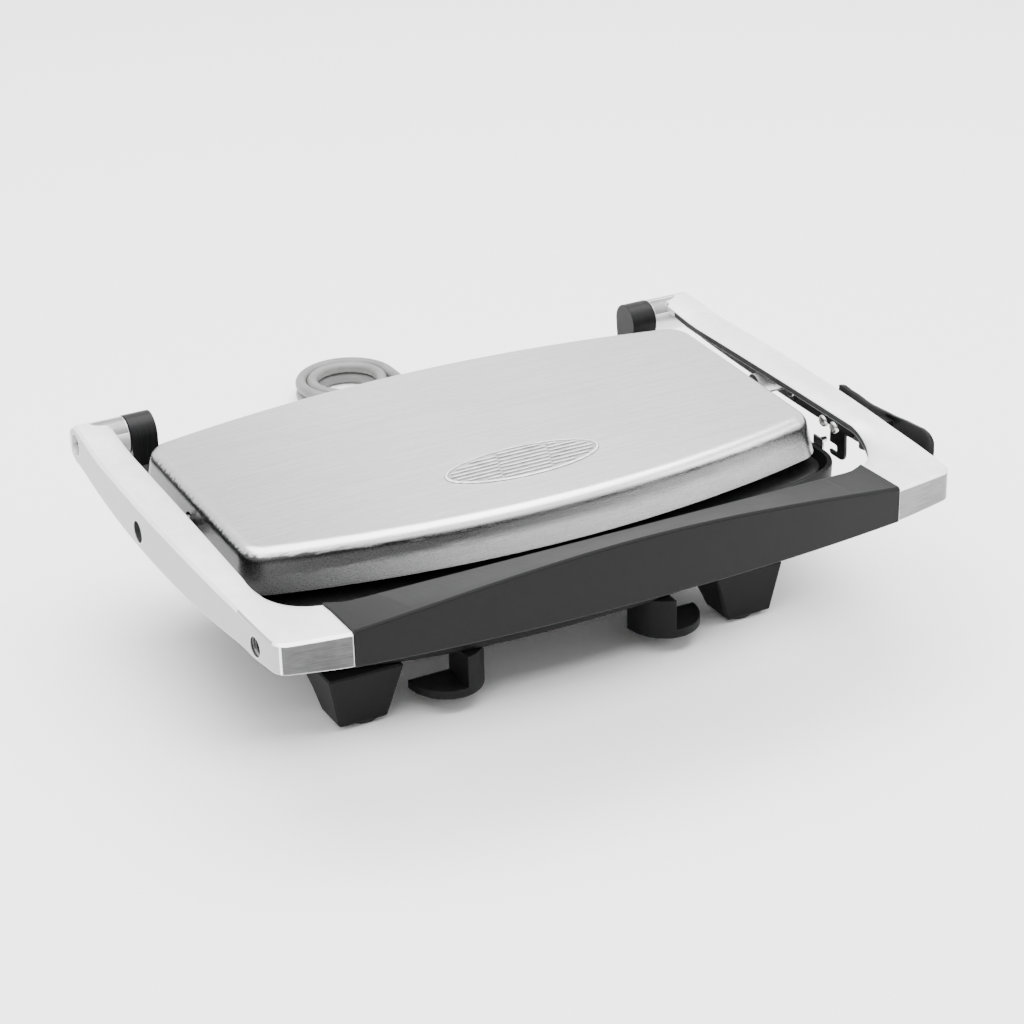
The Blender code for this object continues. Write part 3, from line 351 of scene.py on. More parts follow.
@dataclass(frozen=True)
class FlexibleSheath:
    """Light grey cord sheath with lengthwise marks and handling smudges."""

    name: str = "cord_sheath"
    colour: Point = (0.16, 0.16, 0.158)

    def make(self) -> bpy.types.Material:
        """Build the material."""
        g = Graph(self.name)
        cloud = g.noise(g.place(), 70.0, 3.0)
        grain = g.noise(g.place(), 2400.0, 2.0)
        low = tuple(c * 0.86 for c in self.colour)
        high = tuple(c * 1.08 for c in self.colour)
        g.set(Base_Color=g.blend(cloud.step(0.3, 0.7), low, high), Roughness=cloud * 0.12 + 0.38)
        g.bump(grain, 0.06, 0.0003)
        return g.material


@dataclass(frozen=True)
class RubberFinish:
    """Matt black rubber."""

    name: str = "rubber"

    def make(self) -> bpy.types.Material:
        """Build the material."""
        g = Graph(self.name)
        grain = g.noise(g.place(), 1500.0, 3.0)
        dust = g.noise(g.place(), 60.0, 3.0)
        g.set(
            Base_Color=g.blend(dust.step(0.45, 0.8), (0.012, 0.012, 0.012), (0.030, 0.029, 0.028)),
            Roughness=dust * 0.12 + 0.70,
        )
        g.bump(grain, 0.18, 0.0004)
        return g.material


@dataclass(frozen=True)
class PlateCoating:
    """Dark non-stick coating over cast ribs: faint speckle, glossier along the rib tops."""

    name: str = "plate_coating"

    def make(self) -> bpy.types.Material:
        """Build the material."""
        g = Graph(self.name)
        speckle = g.noise(g.place(), 1300.0, 2.0, 0.7)
        cloud = g.noise(g.place(), 30.0, 3.0)
        g.set(
            Base_Color=g.blend(speckle.step(0.52, 0.72), (0.010, 0.010, 0.011), (0.050, 0.049, 0.047)),
            Roughness=cloud * 0.16 + 0.34,
            Metallic=0.15,
        )
        g.bump(speckle, 0.10, 0.0004)
        return g.material


@dataclass(frozen=True)
class BareMetal:
    """Plated or bare metal of fixings, sheets and tubes, with tool marks and light tarnish."""

    name: str
    colour: Point = (0.62, 0.62, 0.61)
    roughness: float = 0.24
    tarnish: Point = (0.34, 0.33, 0.31)
    marks: float = 260.0

    def make(self) -> bpy.types.Material:
        """Build the material."""
        g = Graph(self.name)
        cloud = g.noise(g.place(), 85.0, 4.0, 0.6)
        mark = g.noise(g.place((1.0, 1.0, 9.0)), self.marks, 2.0)
        g.set(
            Base_Color=g.blend(cloud.step(0.48, 0.85), self.colour, self.tarnish),
            Metallic=1.0,
            Roughness=cloud * 0.18 + mark * 0.08 + (self.roughness - 0.12),
        )
        g.bump(mark, 0.06, 0.0003)
        return g.material


@dataclass(frozen=True)
class ClearLens:
    """Clear moulded plastic, slightly frosted from below."""

    name: str = "clear_lens"
    # lift brightens the base colour; above 1 it makes a painted-highlight copy.
    lift: float = 1.0

    def make(self) -> bpy.types.Material:
        """Build the material."""
        g = Graph(self.name)
        haze = g.noise(g.place((1.0, 5.0, 1.0)), 160.0, 3.0)
        g.set(
            Base_Color=g.blend(haze.step(0.3, 0.7), (0.20 * self.lift,) * 3, (0.34 * self.lift,) * 3),
            Metallic=0.10,
            Roughness=haze * 0.14 + 0.06,
            Coat_Weight=haze * 0.2 + 0.6,
        )
        g.shader.inputs["Coat Roughness"].default_value = 0.05
        g.bump(haze, 0.10, 0.0006)
        return g.material


@dataclass(frozen=True)
class LampPlastic:
    """A small signal lamp's tinted cap."""

    name: str
    colour: Point

    def make(self) -> bpy.types.Material:
        """Build the material."""
        g = Graph(self.name)
        depth = g.noise(g.place(), 420.0, 2.0)
        low = tuple(c * 0.55 for c in self.colour)
        g.set(Base_Color=g.blend(depth.step(0.3, 0.7), low, self.colour), Roughness=depth * 0.1 + 0.15)
        g.bump(depth, 0.05, 0.0003)
        return g.material


@dataclass(frozen=True)
class CeramicFinish:
    """Unglazed ceramic of the thermostats and the terminal block."""

    name: str = "ceramic"

    def make(self) -> bpy.types.Material:
        """Build the material."""
        g = Graph(self.name)
        grain = g.noise(g.place(), 1100.0, 3.0)
        cloud = g.noise(g.place(), 120.0, 3.0)
        g.set(
            Base_Color=g.blend(cloud.step(0.35, 0.75), (0.74, 0.72, 0.66), (0.58, 0.55, 0.49)),
            Roughness=cloud * 0.12 + 0.48,
        )
        g.bump(grain, 0.14, 0.0004)
        return g.material


@dataclass(frozen=True)
class FloorFinish:
    """The plain pale floor."""

    colour: Point = (0.93, 0.93, 0.93)
    name: str = "studio_floor"

    def make(self) -> bpy.types.Material:
        """Build the material."""
        g = Graph(self.name)
        g.set(Base_Color=self.colour, Roughness=0.75)
        return g.material


class Finishes:
    """Every finish's material, made when it is first asked for."""

    def __init__(self) -> None:
        """Start with no material made."""
        self.made: dict[str, bpy.types.Material] = {}
        self.kinds = {
            kind.name: kind
            for kind in (
                BrushedSteel(),
                CastAluminium(),
                # Painted shade: darker copies of the cast aluminium for the arms' outer sides, front faces (the left
                # front darkest), knuckles, channel insides and screw recesses.
                CastAluminium((0.40, 0.40, 0.40), 0.44, 0.05, "cast_painted_shade_side"),
                CastAluminium((0.24, 0.24, 0.243), 0.40, 0.14, "cast_front_right"),
                CastAluminium((0.10, 0.10, 0.102), 0.36, 0.20, "cast_front_left"),
                CastAluminium((0.07, 0.07, 0.071), 0.55, 0.12, "cast_painted_shade_inside"),
                MouldedPlastic("black_plastic"),
                MouldedPlastic("grip_plastic", (0.0050, 0.0050, 0.0052), Sheen.MATT, 2100.0, 0.22),
                MouldedPlastic("latch_plastic", (0.0045, 0.0045, 0.0047), Sheen.SATIN, 2400.0, 0.10),
                BarrelPlastic(),
                FlexibleSheath(),
                RubberFinish(),
                PlateCoating(),
                BareMetal("bright_steel"),
                BareMetal("screw_steel", (0.16, 0.16, 0.16), 0.34, (0.07, 0.07, 0.07)),
                BareMetal("dark_steel", (0.030, 0.030, 0.032), 0.42, (0.012, 0.012, 0.012)),
                BareMetal("element_sheath", (0.30, 0.27, 0.24), 0.46, (0.13, 0.12, 0.11)),
                BareMetal("reflector_sheet", (0.78, 0.78, 0.78), 0.30, (0.60, 0.58, 0.54), 90.0),
                ClearLens(),
                # Painted highlight: a lighter copy of the clear lens for the raised bars' upper faces.
                ClearLens("lens_bars_painted_highlight", 2.75),
                LampPlastic("red_lamp", (0.55, 0.03, 0.02)),
                LampPlastic("green_lamp", (0.03, 0.36, 0.08)),
                CeramicFinish(),
                FloorFinish(),
            )
        }

    def get(self, name: str) -> bpy.types.Material:
        """The material of that name."""
        if name not in self.made:
            self.made[name] = self.kinds[name].make()
        return self.made[name]


# ---- Building pieces -------------------------------------------------------------------------------


class Maker:
    """Makes pieces in the design frame, places them, and records what each stands for."""

    def __init__(self, finishes: Finishes) -> None:
        """Find the assembly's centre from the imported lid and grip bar."""
        self.finishes = finishes
        low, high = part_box("lid_shell")
        self.centre = Vector((-(low[0] + high[0]) / 2, -0.1424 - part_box("grip_bar")[0][1], 0.0))

    def piece(
        self,
        name: str,
        bm: bmesh.types.BMesh,
        look: str,
        body: str,
        stands_for: Sequence[str] = (),
        bevel: float = 0.0,
        segments: int = 3,
        angle: float = 30.0,
        tidy: bool = True,
    ) -> bpy.types.Object:
        """Finish a mesh as a piece of the object.

        Args:
            name: the piece's name.
            bm: its mesh in the design frame; it is used up.
            look: the finish.
            body: the CAD body that it rides on.
            stands_for: CAD nodes that it replaces.
            bevel: width of eased edges, or 0 for none.
            segments: the bevel's segments.
            angle: edges sharper than this many degrees are eased and shaded sharp.
            tidy: whether doubles are merged and normals turned out.

        Returns:
            The placed object.
        """
        if tidy:
            bmesh.ops.remove_doubles(bm, verts=bm.verts, dist=1e-7)
            bmesh.ops.recalc_face_normals(bm, faces=bm.faces)
        bmesh.ops.translate(bm, vec=-self.centre, verts=bm.verts)
        mesh = bpy.data.meshes.new(name)
        bm.to_mesh(mesh)
        bm.free()
        mesh.shade_smooth()
        mesh.set_sharp_from_angle(angle=math.radians(angle))
        item = bpy.data.objects.new(name, mesh)
        bpy.context.scene.collection.objects.link(item)
        mesh.materials.append(self.finishes.get(look))
        if bevel:
            ease = item.modifiers.new("eased_edges", "BEVEL")
            ease.width = bevel
            ease.segments = segments
            ease.limit_method = "ANGLE"
            ease.angle_limit = math.radians(angle)
            ease.harden_normals = True
            ease.miter_outer = "MITER_ARC"
        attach(item, body)
        if stands_for:
            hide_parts(*stands_for)
        LOG.info("%s rides on %s", name, body)
        return item

    def cut(
        self, item: bpy.types.Object, cutters: Iterable[bmesh.types.BMesh], operation: str = "DIFFERENCE"
    ) -> None:
        """Cut solids out of a piece or add them to it, before its edges are eased, and apply that.

        Args:
            item: the piece.
            cutters: solids in the design frame; they are used up.
            operation: DIFFERENCE to cut, or UNION to add.
        """
        tools = []
        for bm in cutters:
            bmesh.ops.recalc_face_normals(bm, faces=bm.faces)
            bmesh.ops.translate(bm, vec=-self.centre, verts=bm.verts)
            mesh = bpy.data.meshes.new("cutter")
            bm.to_mesh(mesh)
            bm.free()
            cutter = bpy.data.objects.new("cutter", mesh)
            bpy.context.scene.collection.objects.link(cutter)
            step = item.modifiers.new("cut", "BOOLEAN")
            step.solver = "EXACT"
            step.operation = operation
            step.object = cutter
            tools.append(cutter)
        eases = [m for m in item.modifiers if m.type == "BEVEL"]
        for ease in eases:
            ease.show_viewport = False
        depsgraph = bpy.context.evaluated_depsgraph_get()
        depsgraph.update()
        mesh = bpy.data.meshes.new_from_object(item.evaluated_get(depsgraph))
        old = item.data
        item.data = mesh
        mesh.name = item.name
        bpy.data.meshes.remove(old)
        for step in [m for m in item.modifiers if m.type == "BOOLEAN"]:
            item.modifiers.remove(step)
        for ease in eases:
            ease.show_viewport = True
        for cutter in tools:
            bpy.data.objects.remove(cutter, do_unlink=True)

    def paint(
        self, item: bpy.types.Object, look: str, test: Callable[[Vector, Vector], bool]
    ) -> None:
        """Give some faces of a piece another finish, such as a painted-shade or painted-highlight copy of its own.

        Args:
            item: the piece.
            look: the finish.
            test: takes a face's centre in the design frame and its normal, and picks the faces.
        """
        item.data.materials.append(self.finishes.get(look))
        index = len(item.data.materials) - 1
        for face in item.data.polygons:
            if test(face.center + self.centre, face.normal):
                face.material_index = index

    def dress(self, look: str, nodes: Iterable[str]) -> None:
        """Give CAD nodes that stay a finish."""
        for name in nodes:
            node = self.frame_nodes[name]
            node.data.materials.clear()
            node.data.materials.append(self.finishes.get(look))

    def eased_copy(
        self, node: str, look: str, body: str, bevel: float, segments: int = 3
    ) -> bpy.types.Object:
        """A copy of a CAD node with merged triangles and rounded edges, in the node's place."""
        bm = bmesh.new()
        bm.from_mesh(self.frame_nodes[node].data)
        bmesh.ops.remove_doubles(bm, verts=bm.verts, dist=2e-6)
        bmesh.ops.dissolve_limit(
            bm, angle_limit=math.radians(1.0), verts=bm.verts, edges=bm.edges, use_dissolve_boundaries=False
        )
        bmesh.ops.translate(bm, vec=self.centre, verts=bm.verts)
        return self.piece(f"{node}_eased", bm, look, body, [node], bevel, segments, 32.0, tidy=False)

    frame_nodes: dict[str, bpy.types.Object] = {}


def loft(rings: Sequence[Sequence[Point]]) -> bmesh.types.BMesh:
    """A closed solid: a face on the first ring is extruded to each next one."""
    bm = bmesh.new()
    first = cap = bm.faces.new([bm.verts.new(p) for p in rings[0]])
    for ring in rings[1:]:
        made = bmesh.ops.extrude_face_region(bm, geom=[cap])["geom"]
        if cap is not first:
            bmesh.ops.delete(bm, geom=[cap], context="FACES_ONLY")
        cap = next(g for g in made if isinstance(g, bmesh.types.BMFace))
        for vert, point in zip(cap.verts, ring):
            vert.co = point
    return bm


def turned(
    profile: Sequence[Flat], spot: Point, axis: str = "z", steps: int = 48, closed: bool = False
) -> bmesh.types.BMesh:
    """A turned solid.

    Args:
        profile: (radius, height) points.
        spot: where the profile's height 0 stands.
        axis: x, y or z.
        steps: segments round the axis.
        closed: whether the profile is a closed ring away from the axis.

    Returns:
        Its mesh.
    """
    bm = bmesh.new()
    verts = [bm.verts.new((r, 0, h)) for r, h in profile]
    edges = [bm.edges.new(pair) for pair in zip(verts, verts[1:])]
    if closed:
        edges.append(bm.edges.new((verts[-1], verts[0])))
    bmesh.ops.spin(
        bm, geom=verts + edges, cent=(0, 0, 0), axis=(0, 0, 1), angle=2 * math.pi, steps=steps, use_merge=True
    )
    bmesh.ops.remove_doubles(bm, verts=bm.verts, dist=1e-6)
    turn = {
        "z": Matrix(),
        "x": Matrix.Rotation(math.pi / 2, 4, "Y"),
        "y": Matrix.Rotation(-math.pi / 2, 4, "X"),
    }[axis]
    bmesh.ops.transform(bm, matrix=Matrix.Translation(spot) @ turn, verts=bm.verts)
    bmesh.ops.recalc_face_normals(bm, faces=bm.faces)
    return bm


def rod(radius: float, start: float, end: float, spot: Flat, axis: str = "x", steps: int = 48) -> bmesh.types.BMesh:
    """A plain round bar from start to end along its axis; spot gives the two other coordinates."""
    place = {"x": (0, *spot), "y": (spot[0], 0, spot[1]), "z": (*spot, 0)}[axis]
    return turned([(0, start), (radius, start), (radius, end), (0, end)], place, axis, steps)


def block(low: Point, high: Point) -> bmesh.types.BMesh:
    """A box between two corners."""
    bm = bmesh.new()
    bmesh.ops.create_cube(bm, size=1.0)
    size = [abs(b - a) for a, b in zip(low, high)]
    bmesh.ops.scale(bm, vec=size, verts=bm.verts)
    bmesh.ops.translate(bm, vec=[(a + b) / 2 for a, b in zip(low, high)], verts=bm.verts)
    return bm


def join(parts: Sequence[bmesh.types.BMesh]) -> bmesh.types.BMesh:
    """Several meshes as one; the parts are used up."""
    whole = bmesh.new()
    for part in parts:
        mesh = bpy.data.meshes.new("part")
        part.to_mesh(mesh)
        part.free()
        whole.from_mesh(mesh)
        bpy.data.meshes.remove(mesh)
    return whole


def filleted(corners: Sequence[tuple[float, float, float]], steps: int = 8) -> list[Flat]:
    """A closed outline of (a, b, radius) corners; a radius of 0 keeps the point."""
    found: list[Vector] = []
    for i, (a, b, radius) in enumerate(corners):
        here = Vector((a, b))
        if radius <= 0:
            found.append(here)
            continue
        before = (Vector(corners[i - 1][:2]) - here).normalized()
        after = (Vector(corners[(i + 1) % len(corners)][:2]) - here).normalized()
        half = before.angle(after) / 2
        middle = here + (before + after).normalized() * radius / math.sin(half)
        start = here + before * radius / math.tan(half) - middle
        sweep = start.angle_signed(here + after * radius / math.tan(half) - middle)
        found += [middle + Matrix.Rotation(-sweep * k / steps, 2) @ start for k in range(steps + 1)]
    return [(p.x, p.y) for p in found]


def smooth_route(points: Sequence[Point], pace: float) -> list[Vector]:
    """Even points, a pace apart, on a Catmull-Rom curve through the given points."""
    knots = [Vector(p) for p in points]
    knots = [2 * knots[0] - knots[1], *knots, 2 * knots[-1] - knots[-2]]
    fine: list[Vector] = []
    for a, b, c, d in zip(knots, knots[1:], knots[2:], knots[3:]):
        for k in range(24):
            t = k / 24
            fine.append(
                0.5 * (2 * b + (c - a) * t + (2 * a - 5 * b + 4 * c - d) * t * t + (3 * b - a - 3 * c + d) * t**3)
            )
    fine.append(knots[-2])
    lengths = [0.0]
    for a, b in zip(fine, fine[1:]):
        lengths.append(lengths[-1] + (b - a).length)
    count = max(2, round(lengths[-1] / pace) + 1)
    found, j = [], 0
    for k in range(count):
        want = lengths[-1] * k / (count - 1)
        while j < len(fine) - 2 and lengths[j + 1] < want:
            j += 1
        found.append(fine[j].lerp(fine[j + 1], (want - lengths[j]) / (lengths[j + 1] - lengths[j])))
    return found


# ---- Camera, floor and light -----------------------------------------------------------------------


@dataclass
class Studio:
    """The camera, a pale floor, soft lights and a plain surround."""

    spot: Point = (-0.58307, -1.15977, 0.69591)
    right: Point = (0.88271865, -0.46940611, -0.02157963)
    up: Point = (0.22112591, 0.37442938, 0.90050318)
    lens: float = 100.51
    shift: Flat = (-0.0306, -0.0075)

    def camera(self, centre: Vector) -> None:
        """Set the scene's camera."""
        data = bpy.data.cameras.new("view")
        data.lens = self.lens
        data.sensor_width = 36.0
        data.shift_x, data.shift_y = self.shift
        data.clip_start, data.clip_end = 0.05, 40.0
        item = bpy.data.objects.new("view", data)
        right, up = Vector(self.right), Vector(self.up)
        turn = Matrix((right, up, right.cross(up))).transposed().to_4x4()
        item.matrix_world = Matrix.Translation(Vector(self.spot) - centre) @ turn
        bpy.context.scene.collection.objects.link(item)
        bpy.context.scene.camera = item

    def floor(self, finishes: Finishes) -> None:
        """A wide floor on the plane that the feet stand on."""
        bm = bmesh.new()
        bmesh.ops.create_grid(bm, x_segments=1, y_segments=1, size=9.0)
        mesh = bpy.data.meshes.new("studio_floor")
        bm.to_mesh(mesh)
        bm.free()
        mesh.materials.append(finishes.get("studio_floor"))
        item = bpy.data.objects.new("studio_floor", mesh)
        bpy.context.scene.collection.objects.link(item)

    def light(self, name: str, spot: Point, aim: Point, size: Flat, power: float) -> None:
        """One soft rectangular light.

        Args:
            name: its name.
            spot: where it stands.
            aim: the point that it faces.
            size: its width and height.
            power: its power in watts.
        """
        data = bpy.data.lights.new(name, "AREA")
        data.shape = "RECTANGLE"
        data.size, data.size_y = size
        data.energy = power
        item = bpy.data.objects.new(name, data)
        item.location = spot
        item.rotation_euler = (Vector(aim) - Vector(spot)).to_track_quat("-Z", "Y").to_euler()
        bpy.context.scene.collection.objects.link(item)

    def surround(self) -> None:
        """A plain world: bright above and behind, darker low in front, so that bends show a dark band."""
        world = bpy.data.worlds.new("surround")
        bpy.context.scene.world = world
        world.use_nodes = True
        tree = world.node_tree
        spot = tree.nodes.new("ShaderNodeTexCoord")
        split = tree.nodes.new("ShaderNodeSeparateXYZ")
        tree.links.new(spot.outputs["Generated"], split.inputs[0])
        rise = tree.nodes.new("ShaderNodeMapRange")
        rise.interpolation_type = "SMOOTHSTEP"
        rise.inputs[1].default_value, rise.inputs[2].default_value = 0.16, 0.58
        tree.links.new(split.outputs["Z"], rise.inputs[0])
        back = tree.nodes.new("ShaderNodeMapRange")
        back.interpolation_type = "SMOOTHSTEP"
        back.inputs[1].default_value, back.inputs[2].default_value = -0.35, 0.30
        tree.links.new(split.outputs["Y"], back.inputs[0])
        most = tree.nodes.new("ShaderNodeMath")
        most.operation = "MAXIMUM"
        tree.links.new(rise.outputs[0], most.inputs[0])
        tree.links.new(back.outputs[0], most.inputs[1])
        tone = tree.nodes.new("ShaderNodeMapRange")
        tone.inputs[3].default_value, tone.inputs[4].default_value = 0.05, 2.1
        tree.links.new(most.outputs[0], tone.inputs[0])
        shade = tree.nodes["Background"]
        tree.links.new(tone.outputs[0], shade.inputs["Strength"])
        shade.inputs["Color"].default_value = (1.0, 1.0, 1.0, 1.0)

    def build(self, centre: Vector, finishes: Finishes) -> None:
        """Make the whole studio."""
        self.camera(centre)
        self.floor(finishes)
        self.surround()
        self.light("key", (-0.9, -0.9, 1.6), (0.0, 0.0, 0.05), (1.3, 0.9), 16.0)
        self.light("overhead", (0.1, 0.3, 1.9), (0.0, 0.0, 0.0), (2.4, 1.8), 104.0)
        self.light("fill", (1.5, -0.7, 0.9), (0.0, 0.0, 0.05), (1.0, 1.0), 9.0)


# ---- Mains cord ------------------------------------------------------------------------------------


def eased(value: float, low: float, high: float) -> float:
    """A smooth rise from 0 at low to 1 at high."""
    part = min(1.0, max(0.0, (value - low) / (high - low)))
    return part * part * (3 - 2 * part)


@dataclass
class MainsCord:
    """The lead, its coil behind the base, its gland and the plug."""

    radius: float = 0.0034
    exit: Flat = (0.0150, 0.0460)
    start_y: float = 0.1130
    lie: float = 0.0036
    coil: Flat = (0.0497, 0.3163)
    outer: float = 0.0280
    plug_x: float = 0.0814
    plug_back: float = 0.2280
    plug_radius: float = 0.0180
    pace: float = 0.0025
    facts: dict[str, float] = field(default_factory=dict)

    def ring_place(self, turn: float) -> Vector:
        """A point of the coil.

        Args:
            turn: degrees wound from the entry at the coil's left.

        Returns:
            The cord's middle: outer and inner turn on the table, then inner and outer turn on top.
        """
        inward = eased(turn, 306.0, 352.0) - eased(turn, 925.0, 985.0)
        lift = eased(turn, 612.0, 672.0)
        reach = self.outer - 2 * self.radius * inward * 1.01
        angle = math.radians(180.0 - turn)
        return Vector(
            (
                self.coil[0] + reach * math.cos(angle),
                self.coil[1] + reach * math.sin(angle),
                self.lie + 2.02 * self.radius * lift,
            )
        )

    def route(self) -> list[Vector]:
        """The cord's whole middle line in the design frame."""
        x, z = self.exit
        left = self.coil[0] - self.outer
        lead = [
            (x, self.start_y, z), (x, 0.1300, z), (x, 0.1480, z - 0.0006), (x, 0.1640, z - 0.0055),
            (x + 0.0003, 0.1790, 0.0300), (x + 0.0010, 0.1930, 0.0160), (x + 0.0020, 0.2100, 0.0066),
            (x + 0.0035, 0.2330, self.lie), (x + 0.0052, 0.2600, self.lie), (left - 0.0001, 0.2810, self.lie),
            (left, 0.2980, self.lie),
        ]
        points = smooth_route(lead, self.pace)
        points += [self.ring_place(turn) for turn in range(6, 1261, 4)]
        last = points[-1]
        right = self.coil[0] + self.outer
        top = self.lie + 2.02 * self.radius
        tail = [
            tuple(last), (right + 0.0001, self.coil[1] - 0.0120, top), (right + 0.0012, 0.2820, top - 0.0006),
            (right + 0.0030, 0.2700, top - 0.0016), (self.plug_x, 0.2580, top - 0.0010),
            (self.plug_x, 0.2450, 0.0150), (self.plug_x, 0.2340, 0.0176), (self.plug_x, 0.2283, 0.0180),
        ]
        points += smooth_route(tail, self.pace)[1:]
        return points

    def sheath(self, maker: Maker, around: Sequence[bpy.types.Object]) -> None:
        """The cord itself."""
        points = [p - maker.centre for p in self.route()]
        curve = bpy.data.curves.new("mains_cord", "CURVE")
        curve.dimensions = "3D"
        curve.bevel_depth = self.radius
        curve.bevel_resolution = 5
        curve.use_fill_caps = True
        spline = curve.splines.new("POLY")
        spline.points.add(len(points) - 1)
        for target, point in zip(spline.points, points):
            target.co = (*point, 1.0)
        spline.use_smooth = True
        curve.materials.append(maker.finishes.get("cord_sheath"))
        item = bpy.data.objects.new("mains_cord", curve)
        bpy.context.scene.collection.objects.link(item)
        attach(item, "base")
        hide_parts("mains_cord_lead", "mains_cord_coil", "mains_cord_tail")
        length = sum((b - a).length for a, b in zip(points, points[1:]))
        LOG.info("mains cord is %.3f m long", length)

    def gland(self, maker: Maker) -> bpy.types.Object:
        """The tapered strain relief, with flexing grooves round its tail."""
        wall, end = 0.1171, 0.1480
        bore = self.radius + 0.0001
        profile = [
            (bore, wall - 0.0080), (0.0082, wall - 0.0080), (0.0085, wall - 0.0077), (0.0085, wall - 0.0046),
            (0.0058, wall - 0.0046), (0.0058, wall + 0.0026), (0.0082, wall + 0.0026), (0.0085, wall + 0.0030),
            (0.0085, wall + 0.0054), (0.0081, wall + 0.0061), (0.0070, wall + 0.0066),
        ]
        grooves = 6
        for k in range(grooves):
            y = wall + 0.0085 + k * 0.0036
            r = 0.0066 - 0.00025 * k
            profile += [(r, y), (r - 0.0001, y + 0.0020), (r - 0.0012, y + 0.0022), (r - 0.0013, y + 0.0034)]
        profile += [(0.0047, end - 0.0004), (0.0043, end), (bore, end)]
        bm = turned(profile, (self.exit[0], 0, self.exit[1]), "y", 40, closed=True)
        return maker.piece("strain_relief", bm, "rubber", "base", ["cord_gland"], 0.00025, 2)

    def plug(self, maker: Maker) -> bpy.types.Object:
        """A generic earthed two-pin plug on its side, with grip flutes and side earth clips."""
        back, big, x = self.plug_back, self.plug_radius, self.plug_x
        profile = [
            (0, back), (0.0056, back), (0.0062, back - 0.0008), (0.0066, back - 0.0060), (0.0078, back - 0.0150),
            (0.0098, back - 0.0200), (0.0135, back - 0.0243), (0.0168, back - 0.0280), (big - 0.0002, back - 0.0318),
            (big, back - 0.0330), (big, back - 0.0470), (big - 0.0010, back - 0.0490), (0.0162, back - 0.0498),
            (0.0148, back - 0.0500), (0.0145, back - 0.0484), (0, back - 0.0484),
        ]
        body = turned(profile, (x, 0, big), "y", 72)
        parts = [body]
        for side in (-1, 1):
            pin = [
                (0, back - 0.0480), (0.0024, back - 0.0480), (0.0024, back - 0.0680), (0.0016, back - 0.0690),
                (0, back - 0.0690),
            ]
            parts.append(turned(pin, (x + side * 0.0095, 0, big), "y", 24))
        item = maker.piece(
            "plug", join(parts), "cord_sheath", "base", ["mains_plug"], 0.0004, 2, 34.0, tidy=False
        )
        flutes = []
        for k in range(18):
            angle = 2 * math.pi * (k + 0.5) / 18
            spot = (x + 0.0190 * math.cos(angle), big + 0.0190 * math.sin(angle))
            flutes.append(rod(0.0016, back - 0.0445, back - 0.0345, spot, "y", 16))
        maker.cut(item, [join(flutes)])
        return item

    def build(self, maker: Maker) -> None:
        """Make the cord and what is on it."""
        self.sheath(maker, [self.gland(maker), self.plug(maker)])


# ---- The shared plan outline -----------------------------------------------------------------------


@dataclass(frozen=True)
class Plan:
    """The bowed outline that lid, tray, plates and base share."""

    half: float = 0.1605
    front: float = -0.0625
    front_bow: float = 0.0235
    rear: float = 0.1165
    rear_bow: float = 0.0145
    corner: float = 0.015
    spots: int = 12

    def ring(self, grow: float = 0.0) -> list[Flat]:
        """The outline, grown outward from the rim."""
        half = self.half + grow
        radius = max(self.corner + grow, 0.004)
        inner = half - 1.7 * radius
        front, rear = self.front - grow, self.rear + grow
        across = [inner * k / self.spots for k in range(-self.spots, self.spots + 1)]
        corners = [(x, front + self.front_bow * (x / half) ** 2, 0.0) for x in across]
        corners.append((half, front + self.front_bow, radius))
        corners.append((half, rear - self.rear_bow, radius))
        corners += [(x, rear - self.rear_bow * (x / half) ** 2, 0.0) for x in reversed(across)]
        corners.append((-half, rear - self.rear_bow, radius))
        corners.append((-half, front + self.front_bow, radius))
        return filleted(corners, 10)

    def level(self, grow: float, height: float) -> list[Point]:
        """The grown outline at one height."""
        return [(x, y, height) for x, y in self.ring(grow)]


LID_PLAN = Plan(corner=0.0175)
BASE_PLAN = Plan(half=0.1690, front=-0.0710, rear=0.1220, corner=0.0235)


def wall(rings: Sequence[Sequence[Point]]) -> bmesh.types.BMesh:
    """A closed wall: the first ring's edges are extruded through the others and back to the first."""
    bm = bmesh.new()
    verts = [bm.verts.new(p) for p in rings[0]]
    edges = [bm.edges.new((a, b)) for a, b in zip(verts, verts[1:] + verts[:1])]
    for ring in [*rings[1:], rings[0]]:
        order = {v.co.to_tuple(6): k for k, v in enumerate(verts)}
        made = bmesh.ops.extrude_edge_only(bm, edges=edges)["geom"]
        fresh = [g for g in made if isinstance(g, bmesh.types.BMVert)]
        edges = [g for g in made if isinstance(g, bmesh.types.BMEdge) and all(v in fresh for v in g.verts)]
        verts = sorted(fresh, key=lambda v: order[v.co.to_tuple(6)])
        for vert, point in zip(verts, ring):
            vert.co = point
    bmesh.ops.remove_doubles(bm, verts=bm.verts, dist=1e-6)
    return bm


